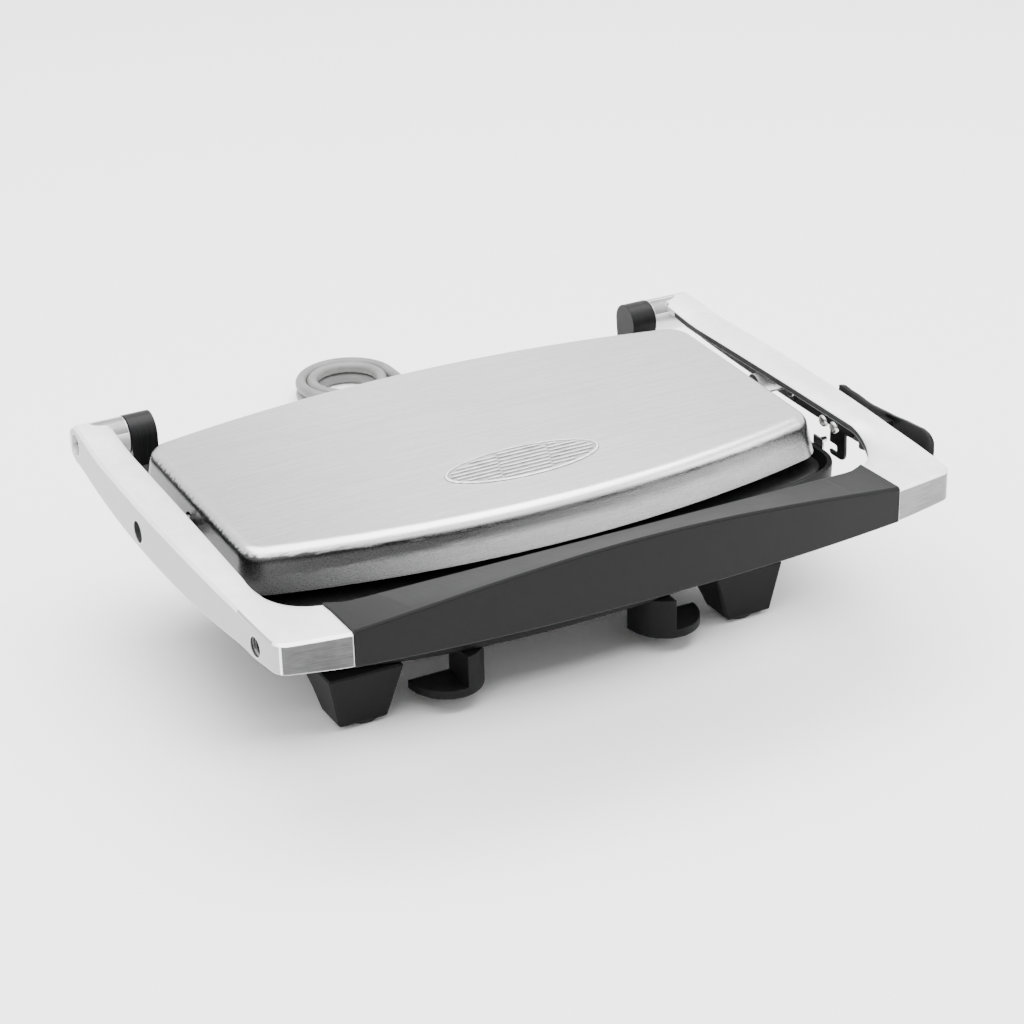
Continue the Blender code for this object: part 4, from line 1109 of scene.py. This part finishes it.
@dataclass(frozen=True)
class RibbedPlate:
    """A cast grill plate: an eased slab with a row of rounded ribs on one face."""

    plan: Plan
    inset: float
    back: float
    face: float
    rib_to: float
    pitch: float = 0.0150
    width: float = 0.0060
    count: int = 17
    reach: Flat = (-0.0300, 0.0920)

    def mesh(self) -> bmesh.types.BMesh:
        """The slab and its ribs."""
        way = 1 if self.face > self.back else -1
        ease = 0.0008
        slab = loft(
            [
                self.plan.level(-self.inset - ease, self.back), self.plan.level(-self.inset, self.back + way * ease),
                self.plan.level(-self.inset, self.face - way * ease),
                self.plan.level(-self.inset - 0.3 * ease, self.face - way * 0.3 * ease),
                self.plan.level(-self.inset - ease, self.face),
            ]
        )
        parts = [slab]
        half, low, high = self.width / 2, self.reach[0], self.reach[1]
        for k in range(self.count):
            x = (k - (self.count - 1) / 2) * self.pitch
            rings = []
            for inset, z in ((0.0, self.face - way * 0.0006), (0.0004, self.rib_to - way * 0.0009),
                             (0.0007, self.rib_to - way * 0.0003), (0.0013, self.rib_to)):
                a, b = half - inset, low + inset
                rings.append([(x - a, b, z), (x + a, b, z), (x + a, high - inset, z), (x - a, high - inset, z)])
            parts.append(loft(rings))
        for part in parts:
            bmesh.ops.recalc_face_normals(part, faces=part.faces)
        return join(parts)


# ---- Lid and upper grill ---------------------------------------------------------------------------


@dataclass
class UpperGrill:
    """The floating lid: drawn shell, lamp window, tray and the upper plate."""

    rim: float = 0.0772
    edge_z: float = 0.0994
    slope: float = 0.030
    crown: float = 0.0022
    pivot_y: float = 0.0360
    pivot_z: float = 0.0860
    draft: float = 0.0030
    edge_round: float = 0.0066
    sheet: float = 0.0012
    window_y: float = -0.0140
    window: Flat = (0.0425, 0.0162)
    body: str = "upper_grill"

    def top(self, x: float, y: float) -> float:
        """Height of the crowned and sloping top face."""
        return self.edge_z + self.slope * (y - self.pivot_y) + self.crown * (1 - (x / LID_PLAN.half) ** 2)

    def rings(self, sheet: float) -> list[list[Point]]:
        """Rings from the rim over the rounded edge, drawn one sheet's thickness inside if asked."""
        radius = self.edge_round - sheet
        found = [LID_PLAN.level(-sheet, self.rim), LID_PLAN.level(-sheet - 0.0004, self.rim + 0.0016)]
        for angle in range(0, 91, 11 if sheet == 0 else 30):
            turn = math.radians(min(angle, 90))
            inset = self.draft + sheet + radius * (1 - math.cos(turn))
            drop = sheet + radius * (1 - math.sin(turn))
            found.append([(x, y, self.top(x, y) - drop) for x, y in LID_PLAN.ring(-inset)])
        for more in (0.0004, 0.0024, 0.0080):
            inset = self.draft + self.edge_round + more
            found.append([(x, y, self.top(x, y) - sheet) for x, y in LID_PLAN.ring(-inset)])
        return found

    def shell(self, maker: Maker) -> None:
        """The deep-drawn lid, whose top is cut into strips that follow its crown."""
        bm = loft([*reversed(self.rings(self.sheet)), *self.rings(0.0)])
        for k in range(-13, 14):
            geometry = [f for f in bm.faces if len(f.verts) > 8]
            geometry += [e for f in geometry for e in f.edges] + [v for f in geometry for v in f.verts]
            bmesh.ops.bisect_plane(
                bm, geom=list(set(geometry)), plane_co=(k * 0.0105, 0, 0), plane_no=(1, 0, 0), dist=1e-7
            )
        item = maker.piece("lid_skin", bm, "brushed_steel", self.body, ["lid_shell"], angle=34.0)
        holes = [loft([self.oval(1.0, 0.080), self.oval(1.0, 0.120)])]
        for side in (-1, 1):
            holes.append(rod(0.0042, side * 0.150, side * 0.165, (self.pivot_y, self.pivot_z), "x", 32))
        maker.cut(item, holes)
        item.data.shade_smooth()
        item.data.set_sharp_from_angle(angle=math.radians(34.0))

    def oval(self, grow: float, height: float | None = None, lift: float = 0.0, inset: float = 0.0) -> list[Point]:
        """The window's oval.

        Args:
            grow: its size against the hole's.
            height: a fixed height, or None to follow the lid's top.
            lift: how far above the top face it lies.
            inset: how far inside the hole it is drawn.

        Returns:
            Its points.
        """
        found = []
        for k in range(72):
            angle = 2 * math.pi * k / 72
            x = (self.window[0] * grow - inset) * math.cos(angle)
            y = self.window_y + (self.window[1] * grow - inset) * math.sin(angle)
            found.append((x, y, self.top(x, y) + lift if height is None else height))
        return found

    def lens(self, maker: Maker) -> None:
        """The clear oval lens with three zones of raised bars, each zone set off from the next."""
        body = loft(
            [
                self.oval(1.0, None, -self.sheet - 0.0026, -0.0038),
                self.oval(1.0, None, -self.sheet - 0.0006, -0.0038),
                self.oval(1.0, None, -self.sheet - 0.0006, GAP),
                self.oval(1.0, None, 0.0003, GAP),
                self.oval(1.0, None, 0.0007, GAP + 0.0005),
                self.oval(1.0, None, 0.0007, 0.0015),
                self.oval(1.0, None, 0.0001, 0.0019),
                self.oval(0.6, None, 0.0001, 0.0019),
            ]
        )
        parts = [body]
        long, wide = self.window[0] - 0.0030, self.window[1] - 0.0026
        zones = ((-1.0, -0.34, 0.0), (-0.31, 0.36, 0.5), (0.39, 1.0, 0.0))
        pitch = 0.0034
        for start, end, offset in zones:
            for k in range(-5, 6):
                y = (k + offset) * pitch
                if abs(y) > wide - 0.0008:
                    continue
                reach = long * math.sqrt(1 - ((abs(y) + 0.0006) / wide) ** 2)
                lean = 0.35 * y
                low, high = max(start * long + lean, -reach), min(end * long + lean, reach)
                if high - low < 0.0025:
                    continue
                rib = block((low, self.window_y + y - 0.00075, 0.0), (high, self.window_y + y + 0.00075, 0.0010))
                for vert in rib.verts:
                    vert.co.z += self.top(vert.co.x, vert.co.y) - 0.0002
                    if vert.co.z > self.top(vert.co.x, vert.co.y):
                        vert.co.y += 0.0004 * (1 if vert.co.y < self.window_y + y else -1)
                parts.append(rib)
        for rib in parts:
            bmesh.ops.recalc_face_normals(rib, faces=rib.faces)
        item = maker.piece(
            "lamp_lens", join(parts), "clear_lens", self.body, ["lamp_window"], 0.00012, 2, 34.0, tidy=False
        )
        # Painted highlight: the bars' upper faces take the lighter copy of the lens finish.
        maker.paint(item, "lens_bars_painted_highlight", lambda c, n: c.z > self.top(c.x, c.y) + 0.0004)

    def tray(self, maker: Maker) -> None:
        """The black tray round the upper plate, with the stepped lip that shows under the lid's rim."""
        foot, top = self.rim - 0.0012, self.rim + 0.0034
        rings = [
            LID_PLAN.level(-0.0016, foot + 0.0008), LID_PLAN.level(-0.0018, self.rim + 0.0004),
            LID_PLAN.level(-0.0026, top - 0.0010), LID_PLAN.level(-0.0036, top), LID_PLAN.level(-0.0085, top),
            LID_PLAN.level(-0.0085, top - 0.0014), LID_PLAN.level(-0.0060, top - 0.0022),
            LID_PLAN.level(-0.0060, foot), LID_PLAN.level(-0.0022, foot),
        ]
        maker.piece("lid_tray", wall(rings), "black_plastic", self.body, ["upper_tray"], angle=40.0)

    def build(self, maker: Maker) -> None:
        """Make the lid and dress what is inside it."""
        self.shell(maker)
        self.lens(maker)
        self.tray(maker)
        plate = RibbedPlate(LID_PLAN, 0.0090, 0.0836, 0.0786, 0.0756)
        maker.piece(
            "upper_ribbed_plate", plate.mesh(), "plate_coating", self.body, ["upper_grill_plate"],
            angle=50.0, tidy=False,
        )
        maker.dress("black_plastic", ["lamp_carrier"])
        maker.dress("red_lamp", ["power_lamp"])
        maker.dress("green_lamp", ["ready_lamp"])
        maker.dress("element_sheath", ["upper_heating_element"])
        maker.dress("reflector_sheet", ["upper_reflector"])
        maker.dress("ceramic", ["upper_thermostat"])
        maker.dress("bright_steel", ["pivot_bracket_left", "pivot_bracket_right"])
        for name, side in (("left", -1), ("right", 1)):
            ends = sorted((side * 0.1610, side * 0.1649))
            profile = [
                (0.0031, ends[0]), (0.0046, ends[0]), (0.0052, ends[0] + 0.0006), (0.0052, ends[1] - 0.0006),
                (0.0046, ends[1]), (0.0031, ends[1]),
            ]
            bm = turned(profile, (0, self.pivot_y, self.pivot_z), "x", 40, closed=True)
            maker.piece(f"collar_{name}", bm, "bright_steel", self.body, [f"pivot_collar_{name}"], angle=50.0)


# ---- Lifting frame ---------------------------------------------------------------------------------


@dataclass
class LiftingFrame:
    """Two cast arms and the black grip bar between them."""

    hinge: Flat = (0.1320, 0.0937)
    pivot: Flat = (0.0360, 0.0860)
    clamp: Flat = (-0.1030, 0.0872)
    barrel: float = 0.0100
    barrel_out: float = 0.1548
    out: float = 0.1850
    widest_y: float = 0.0120
    joint_x: float = 0.1455
    joint_front: float = -0.1302
    corner_front: float = -0.1246
    top_z: float = 0.0999
    sheet: float = 0.0030
    sag: float = 0.0022
    bend: float = 0.0470
    bend_at: Flat = (0.1203, -0.0561)
    body: str = "handle_frame"

    def outer(self, y: float) -> float:
        """The outer side's X."""
        return self.out - 0.0044 * ((y - self.widest_y) / 0.134) ** 2

    def inner(self, y: float) -> float:
        """The inner side's X behind the front corner."""
        return 0.1665 - 0.0026 * max(y, self.bend_at[1]) / 0.134 - 0.0003

    def top(self, y: float) -> float:
        """The top's height."""
        t = y / 0.134
        return self.top_z + 0.0018 * t - 0.0012 * t * t

    def height(self, y: float) -> float:
        """How deep the outer side is."""
        return max(0.0226 - 0.0063 * ((y - 0.020) / 0.110) ** 2, 0.0168)

    def front(self, x: float) -> float:
        """The front face's Y at one place across the frame."""
        part = (x * x - self.joint_x**2) / (0.1800**2 - self.joint_x**2)
        return self.joint_front + (self.corner_front - self.joint_front) * part

    def stations(self) -> list[tuple[float, ...]]:
        """(outer X, outer Y, inner X, inner Y, top, bottom, sag) from the rear end to the grip's joint."""
        found = []
        y0, z0 = self.hinge
        for angle in range(90, -1, -10):
            y = y0 + self.barrel * math.sin(math.radians(angle))
            rise = max(self.barrel * math.cos(math.radians(angle)), 0.0012)
            found.append((self.outer(y0), y, self.inner(y0), y, z0 + rise, z0 - rise, 0.0))
        for k in range(1, 26):
            y = y0 - 0.0075 * k
            part = min(1.0, k * 0.0075 / 0.04)
            ease = part * part * (3 - 2 * part)
            top = self.top(y) * ease + (z0 + self.barrel) * (1 - ease)
            low = (self.top(y) - self.height(y)) * min(1.0, k / 3) + (z0 - self.barrel) * max(0.0, 1 - k / 3)
            found.append((self.outer(y), y, self.inner(y), y, top, low, 0.0))
        corner = self.outer(-0.1200)
        sides = [(self.outer(y), y) for y in (-0.0620, -0.0700, -0.0780, -0.0860, -0.0940, -0.1020)]
        edge = filleted(
            [(corner, -0.1000, 0), (corner, self.front(corner), 0.0075), (0.1600, self.front(0.1600), 0)], 9
        )
        fronts = [(x, self.front(x)) for x in (0.1640, 0.1600, 0.1560, 0.1520, 0.1485, self.joint_x)]
        spots = sides + edge[1:-1] + fronts
        last = math.acos((self.joint_x - self.bend_at[0]) / self.bend)
        for k, (ox, oy) in enumerate(spots):
            turn = last * ((k + 1) / len(spots)) ** 0.92
            ix = self.bend_at[0] + self.bend * math.cos(turn)
            iy = self.bend_at[1] - self.bend * math.sin(turn)
            top = self.top(oy) - 0.0001
            shallow = 0.0016 * max(0.0, 1 - abs(ox - 0.1800) / 0.03) if oy < -0.110 else 0.0
            dip = self.sag * math.sin(math.pi * turn / last)
            found.append((ox, oy, ix, iy, top, top - self.height(oy) + shallow, dip))
        return found

    def section(self, station: tuple[float, ...], side: int) -> list[Point]:
        """The channel's section at a station: outer wall, crowned top and a short inner lip."""
        ox, oy, ix, iy, top, low, sag = station
        out = Vector((ox - ix, oy - iy))
        width = out.length
        out /= width
        sheet = min(self.sheet, (top - low) * 0.3)
        lip = min(0.0045, (top - low) * 0.55)
        inner = top - 0.0010 - sag
        points = [
            (width, top - 0.0012), (width, low), (width - sheet, low), (width - sheet, top - sheet - 0.0012),
            (sheet, inner - sheet), (sheet * 0.8, inner - lip), (0, inner - lip), (0, inner - 0.0012),
            (0.0014, inner), (min(0.0100, width * 0.5), top - 0.0003), (width - 0.0016, top),
        ]
        return [(side * (ix + out.x * w), iy + out.y * w, z) for w, z in points]

    def near_hole(self, spot: Vector) -> bool:
        """Whether a point lies inside the pivot's or the clamp's screw recess."""
        return any((spot.yz - Vector(hole)).length < 0.0058 for hole in (self.pivot, self.clamp))

    def arm(self, maker: Maker, side: int, name: str) -> None:
        """One cast arm with its knuckle, pivot boss, clamp boss and recessed screw seats, and painted shade on its
        sides, front, inside, recesses and knuckle.
        """
        bm = loft([self.section(s, side) for s in self.stations()])
        item = maker.piece(
            f"arm_casting_{name}", bm, "cast_aluminium", self.body, [f"arm_{name}"], 0.0009, 3, 36.0
        )
        bosses = [
            rod(0.0097, side * (self.barrel_out + 0.0006), side * 0.1805, self.hinge, "x", 64),
            rod(0.0060, side * 0.1655, side * 0.1832, self.pivot, "x"),
            rod(0.0055, side * 0.1700, side * 0.1795, self.clamp, "x"),
            rod(0.0048, 0.0845, 0.0968, (side * 0.1752, -0.0590), "z"),
            rod(0.0034, side * 0.1722, side * 0.1832, (0.0110, 0.0905), "x"),
        ]
        maker.cut(item, bosses, "UNION")
        bores = [
            rod(0.00305, side * 0.15, side * 0.19, self.hinge),
            rod(0.0057, side * 0.1782, side * 0.19, self.hinge),
            rod(0.0030, side * 0.16, side * 0.19, self.pivot),
            rod(0.0057, side * 0.1800, side * 0.19, self.pivot),
            rod(0.0022, side * 0.16, side * 0.19, self.clamp),
            rod(0.0050, side * 0.1745, side * 0.19, self.clamp),
        ]
        if side > 0:
            bores.append(block((0.1760, -0.0526, 0.0880), (0.1900, -0.0342, 0.0926)))
        maker.cut(item, bores)
        # Painted shade: the outer side, front face, channel inside, screw recesses and the knuckle beside the barrel
        # take darker copies of the cast aluminium.
        maker.paint(item, "cast_painted_shade_side", lambda c, n: side * n.x > 0.75 and c.y < 0.1400)
        maker.paint(item, f"cast_front_{name}", lambda c, n: n.y < -0.80 and c.y < self.corner_front + 0.004)
        maker.paint(
            item,
            "cast_painted_shade_inside",
            lambda c, n: c.y < self.hinge[0] - 0.012
            and (n.z < -0.5 or (n.z < 0.5 and (side * n.x < -0.35 or n.y > 0.5)))
            or side * c.x < self.outer(c.y) - 0.0006 and self.near_hole(c),
        )
        maker.paint(
            item, "cast_front_right", lambda c, n: side * c.x < 0.1660 and (c.yz - Vector(self.hinge)).length < 0.0105
        )

    def grip_edges(self, x: float) -> tuple[float, float, float, float]:
        """The crease's Y and Z, the front foot's Y and the rear wall's Y at one place across the bar."""
        t = (x / 0.150) ** 2
        rear = -0.1005
        if abs(x) > self.bend_at[0]:
            fall = math.sqrt(max(self.bend**2 - (abs(x) - self.bend_at[0]) ** 2, 0.0))
            rear = max(rear, self.bend_at[1] - fall)
        return (
            -0.1424 + 0.0098 * t + 0.0024 * t * t,
            0.1139 - 0.0190 * t + 0.0028 * t * t,
            -0.1404 + 0.0098 * t + 0.0004 * t * t,
            rear,
        )

    def grip(self, maker: Maker) -> None:
        """The bowed arch of the grip bar, its flat foot cover and the seam at each end."""
        end, low, sheet, rear_z = self.joint_x - GAP, 0.0795, 0.0026, 0.0973
        spots = [end * k / 36 for k in range(-36, 37)]
        arch, cover = [], []
        for x in spots:
            crease_y, crease_z, front, rear = self.grip_edges(x)
            points = [
                (rear, rear_z - 0.0008), (rear - 0.0010, rear_z), (crease_y + 0.0012, crease_z - 0.0001),
                (crease_y, crease_z - 0.0012), (front, low + 0.0006), (front + 0.0006, low),
                (front + sheet, low), (crease_y + 1.15 * sheet, crease_z - 1.6 * sheet),
                (rear - sheet, rear_z - 1.3 * sheet), (rear - sheet + 0.0005, low + 0.0030),
                (rear + 0.0005, low + 0.0030),
            ]
            arch.append([(x, y, z) for y, z in points])
            near, far = front + sheet + 0.0012, rear - sheet - 0.0006
            base = low + 0.0034
            cover.append([(x, near, base), (x, far, base), (x, far, base + 0.002), (x, near, base + 0.002)])
        maker.piece("grip_arch", loft(arch), "grip_plastic", self.body, ["grip_bar"], 0.0005, 3, 30.0)
        maker.piece(
            "grip_cover", loft(cover), "black_plastic", self.body, ["grip_foot_cover"], 0.0004, 2, 30.0
        )

    def screw(self, maker: Maker, node: str, head: float, spot: Flat, ends: Flat, shank: float) -> None:
        """One pan-head screw with a cross recess, which stands for a CAD node.

        Args:
            maker: the piece maker.
            node: the CAD node.
            head: the head's radius.
            spot: its Y and Z.
            ends: X of the shank's tip and of the seat under the head.
            shank: the shank's radius.
        """
        way = 1 if ends[1] > ends[0] else -1
        seat = ends[1]
        profile = [
            (0, ends[0]), (shank * 0.8, ends[0]), (shank, ends[0] + way * 0.0006), (shank, seat - way * 0.0001),
            (head, seat), (head, seat + way * 0.0004), (head * 0.86, seat + way * 0.0010),
            (head * 0.55, seat + way * 0.0014), (0, seat + way * 0.0015),
        ]
        item = maker.piece(
            f"{node}_cross", turned(profile, (0, *spot), "x", 40), "screw_steel", self.body, [node],
            angle=42.0,
        )
        long, thin, deep = head * 0.62, head * 0.13, seat + way * 0.0003
        outside = seat + way * 0.0040
        bars = []
        for wide, tall in ((long, thin), (thin, long)):
            bars.append(
                block(
                    (min(deep, outside), spot[0] - wide, spot[1] - tall),
                    (max(deep, outside), spot[0] + wide, spot[1] + tall),
                )
            )
        for bar in bars:
            maker.cut(item, [bar])

    def build(self, maker: Maker) -> None:
        """Make the frame."""
        for name, side in (("left", -1), ("right", 1)):
            self.arm(maker, side, name)
            self.screw(maker, f"hinge_pin_{name}", 0.0053, self.hinge, (side * 0.1436, side * 0.1785), 0.0030)
            self.screw(
                maker, f"lid_pivot_screw_{name}", 0.0053, self.pivot, (side * 0.1547, side * 0.1803), 0.0029
            )
            self.screw(maker, f"grip_screw_{name}", 0.0046, self.clamp, (side * 0.1600, side * 0.1748), 0.0020)
        self.grip(maker)
        maker.dress("rubber", ["lid_lead"])


# ---- Latch -----------------------------------------------------------------------------------------


@dataclass
class Latch:
    """The slide with its thumb paddle, the hook and its screws."""

    paddle_out: float = 0.1990
    paddle_y: Flat = (-0.0835, -0.0055)
    strip_x: Flat = (0.1690, 0.1713)
    strip_z: Flat = (0.0882, 0.0928)
    stem_y: Flat = (-0.0520, -0.0438)
    stem_z: Flat = (0.0886, 0.0920)
    body: str = "latch"

    def outline(self, t: float) -> Flat:
        """Top and bottom of the paddle at a part of its length from the rear."""
        table = (
            (0.0, 0.0955, 0.0925), (0.04, 0.0965, 0.0905), (0.15, 0.0955, 0.0870), (0.35, 0.0938, 0.0820),
            (0.55, 0.0942, 0.0785), (0.75, 0.0952, 0.0765), (0.90, 0.0957, 0.0762), (0.96, 0.0948, 0.0775),
            (1.0, 0.0915, 0.0815),
        )
        for (a, top_a, low_a), (b, top_b, low_b) in zip(table, table[1:]):
            if t <= b:
                part = (t - a) / (b - a)
                part = part if b in (0.04, 0.96, 1.0) else part * part * (3 - 2 * part)
                return top_a + (top_b - top_a) * part, low_a + (low_b - low_a) * part
        return table[-1][1:]

    def slide(self, maker: Maker) -> None:
        """The strip inside the arm, the stem through the arm's slot and the hollow paddle outside."""
        rings = []
        front, rear = self.paddle_y
        for t in [k / 40 for k in range(41)]:
            top, low = self.outline(t)
            y = rear + (front - rear) * t
            out = self.paddle_out - 0.0050 * (1 - t) ** 1.3
            deep = min(0.0010, (top - low) * 0.1)
            section = [
                (out - 0.0020, top), (out - 0.0002, top), (out - 0.00005, top * 0.75 + low * 0.25),
                (out, (top + low) / 2), (out - 0.0002, low), (out - 0.0020, low),
                (out - 0.0020 + deep, low * 0.75 + top * 0.25), (out - 0.0020 + deep, top * 0.8 + low * 0.2),
            ]
            rings.append([(x, y, z) for x, z in section])
        leaf = loft(rings)
        bmesh.ops.recalc_face_normals(leaf, faces=leaf.faces)
        strip = block((self.strip_x[0], self.stem_y[0], self.strip_z[0]), (self.strip_x[1], 0.0020, self.strip_z[1]))
        stem = block(
            (self.strip_x[0] + 0.0004, self.stem_y[0] + 0.0003, self.stem_z[0]),
            (self.paddle_out - 0.0035, self.stem_y[1], self.stem_z[1]),
        )
        item = maker.piece(
            "latch_slide", leaf, "latch_plastic", self.body, ["latch_slider"], 0.0004, 3, 32.0
        )
        maker.cut(item, [strip, stem], "UNION")

    def build(self, maker: Maker) -> None:
        """Make the latch."""
        self.slide(maker)
        maker.eased_copy("latch_hook", "dark_steel", self.body, 0.00025, 2)
        seat = self.strip_x[0] - GAP
        for name, y in (("front", -0.0382), ("rear", -0.0282)):
            profile = [
                (0, seat - 0.0022), (0.0018, seat - 0.0022), (0.0028, seat - 0.0018), (0.0034, seat - 0.0009),
                (0.0034, seat), (0, seat),
            ]
            item = maker.piece(
                f"slide_screw_{name}", turned(profile, (0, y, 0.0892), "x", 32), "bright_steel", self.body,
                [f"latch_screw_{name}"], angle=42.0,
            )
            for wide, tall in ((0.0020, 0.0004), (0.0004, 0.0020)):
                bar = block((seat - 0.0040, y - wide, 0.0892 - tall), (seat - 0.0012, y + wide, 0.0892 + tall))
                maker.cut(item, [bar])


# ---- Base ------------------------------------------------------------------------------------------


@dataclass
class Base:
    """The tub with its band, posts, legs, cleats and the lower plate."""

    rim: float = 0.0725
    band: float = 0.0130
    floor: float = 0.0300
    thick: float = 0.0025
    inset: float = 0.0080
    waist: float = 0.183
    waist_from: float = 0.050
    hinge: Flat = (0.1320, 0.0937)
    barrel: float = 0.0100
    barrel_x: Flat = (0.1406, 0.1548)
    pad: float = 0.0085
    body: str = "base"

    def foot(self, inset: float, rise: float) -> list[Point]:
        """The tub's narrower outline at its floor, so far inside its edge and above its plane."""
        ring = BASE_PLAN.level(-self.inset - inset, self.floor + rise)
        part = self.waist * (1 - rise / (self.rim - self.band - self.floor))
        return [(x - math.copysign(part * max(0.0, abs(x) - self.waist_from), x), y, z) for x, y, z in ring]

    def housing(self, maker: Maker) -> None:
        """The tub's wall: a rounded rim, an upright band, a step and walls that lean in to the floor."""
        low = self.rim - self.band
        rings = [
            BASE_PLAN.level(-0.0007, self.rim), BASE_PLAN.level(-0.0002, self.rim - 0.0002),
            BASE_PLAN.level(0.0, self.rim - 0.0008), BASE_PLAN.level(-0.0005, low + 0.0006),
            BASE_PLAN.level(-0.0009, low - 0.0004), BASE_PLAN.level(-0.0030, low - 0.0030),
            self.foot(0.0, 0.0022), self.foot(0.0002, 0.0010), self.foot(0.0007, 0.0003),
            self.foot(0.0012, 0.0), self.foot(self.thick, 0.0),
            BASE_PLAN.level(-0.0030 - self.thick, low - 0.0020), BASE_PLAN.level(-0.0005 - self.thick, low + 0.0010),
            BASE_PLAN.level(-self.thick, self.rim - 0.0003), BASE_PLAN.level(-self.thick + 0.0005, self.rim),
        ]
        item = maker.piece("tub", wall(rings), "black_plastic", self.body, ["lower_housing"], angle=38.0)
        maker.cut(item, [rod(0.0062, 0.09, 0.14, (0.0150, 0.0460), "y", 40)])

    def post(self, maker: Maker, side: int, name: str) -> None:
        """A hinge post up to its round barrel, bored for the pin, with its outer edges well rounded."""
        y0, z0 = self.hinge
        corner = 0.1150 + 0.0006
        outline = [
            (y0 + self.barrel * math.cos(math.radians(a)), z0 + self.barrel * math.sin(math.radians(a)))
            for a in range(-10, 191, 5)
        ]
        outline += [
            (y0 - self.barrel, 0.0790), (corner, 0.0735), (corner, self.rim + 0.0006),
            (0.1237, self.rim - 0.0010), (0.1237, 0.0460), (y0 + 0.0060, 0.0460),
        ]
        rings = [[(side * x, y, z) for y, z in outline] for x in self.barrel_x]
        item = maker.piece(
            f"post_{name}", loft(rings), "barrel_plastic", self.body, [f"hinge_post_{name}"], 0.0011, 4, 28.0,
        )
        ends = (side * (self.barrel_x[1] + 0.002), side * (self.barrel_x[0] + 0.002))
        maker.cut(item, [rod(0.00305, *ends, self.hinge, "x", 40)])

    def cleat(self, maker: Maker, side: int, name: str) -> None:
        """A D-shaped cord cleat: a wide flange below a narrower stem."""
        top, low, flange = self.floor - GAP, 0.0085, 0.0130
        middle, half, back, front = 0.0615, 0.0195, -0.0430, -0.0655
        dee = [
            (
                side * (middle + half * math.cos(math.radians(a))),
                back + (front - back) * math.sin(math.radians(a)),
            )
            for a in range(0, 181, 5)
        ]
        bm = loft([[(x, y, z) for x, y in dee] for z in (low, top)])
        item = maker.piece(
            f"cleat_{name}", bm, "black_plastic", self.body, [f"cord_cleat_{name}"], 0.0007, 3, 30.0
        )
        edges = sorted((side * 0.0585, side * 0.1000))
        maker.cut(item, [block((edges[0], -0.09, flange), (edges[1], -0.02, 0.05))])

    def pads(self, maker: Maker) -> None:
        """The four rubber pads with a turned edge and a shallow ring in the sole."""
        r = self.pad
        profile = [
            (0, 0.0006), (r * 0.45, 0.0006), (r * 0.55, 0.0), (r - 0.0010, 0.0), (r - 0.0003, 0.0003),
            (r, 0.0010), (r, 0.0045), (0, 0.0045),
        ]
        for end, y in (("front", -0.0426), ("rear", 0.0806)):
            for name, side in (("left", -1), ("right", 1)):
                node = f"foot_pad_{end}_{name}"
                bm = turned(profile, (side * 0.10665, y, 0), "z", 48)
                maker.piece(f"pad_{end}_{name}", bm, "rubber", self.body, [node], angle=50.0)

    def build(self, maker: Maker) -> None:
        """Make the base."""
        self.housing(maker)
        self.pads(maker)
        for name, side in (("left", -1), ("right", 1)):
            self.post(maker, side, name)
            self.cleat(maker, side, name)
            for end in ("front", "rear"):
                maker.eased_copy(f"leg_{end}_{name}", "black_plastic", self.body, 0.0004, 2)
                maker.dress("bright_steel", [f"cover_screw_{end}_{name}"])
        plate = RibbedPlate(BASE_PLAN, 0.0060, 0.0640, 0.0690, 0.0721)
        maker.piece(
            "lower_ribbed_plate", plate.mesh(), "plate_coating", self.body, ["lower_grill_plate"],
            angle=50.0, tidy=False,
        )
        maker.eased_copy("latch_catch", "bright_steel", self.body, 0.0002, 2)
        maker.eased_copy("bottom_cover", "black_plastic", self.body, 0.0004, 2)
        maker.dress("element_sheath", ["lower_heating_element"])
        maker.dress("reflector_sheet", ["lower_reflector"])
        maker.dress("ceramic", ["lower_thermostat", "terminal_block"])


def main() -> None:
    """Load the frame, make the studio and then every sub-assembly."""
    logging.basicConfig(level=logging.INFO, format="%(name)s: %(message)s")
    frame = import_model()
    finishes = Finishes()
    maker = Maker(finishes)
    maker.frame_nodes = frame["nodes"]
    Studio().build(maker.centre, finishes)
    for part in (MainsCord(), UpperGrill(), LiftingFrame(), Latch(), Base()):
        LOG.info("building %s", type(part).__name__)
        part.build(maker)


if __name__ == "__main__":
    main()
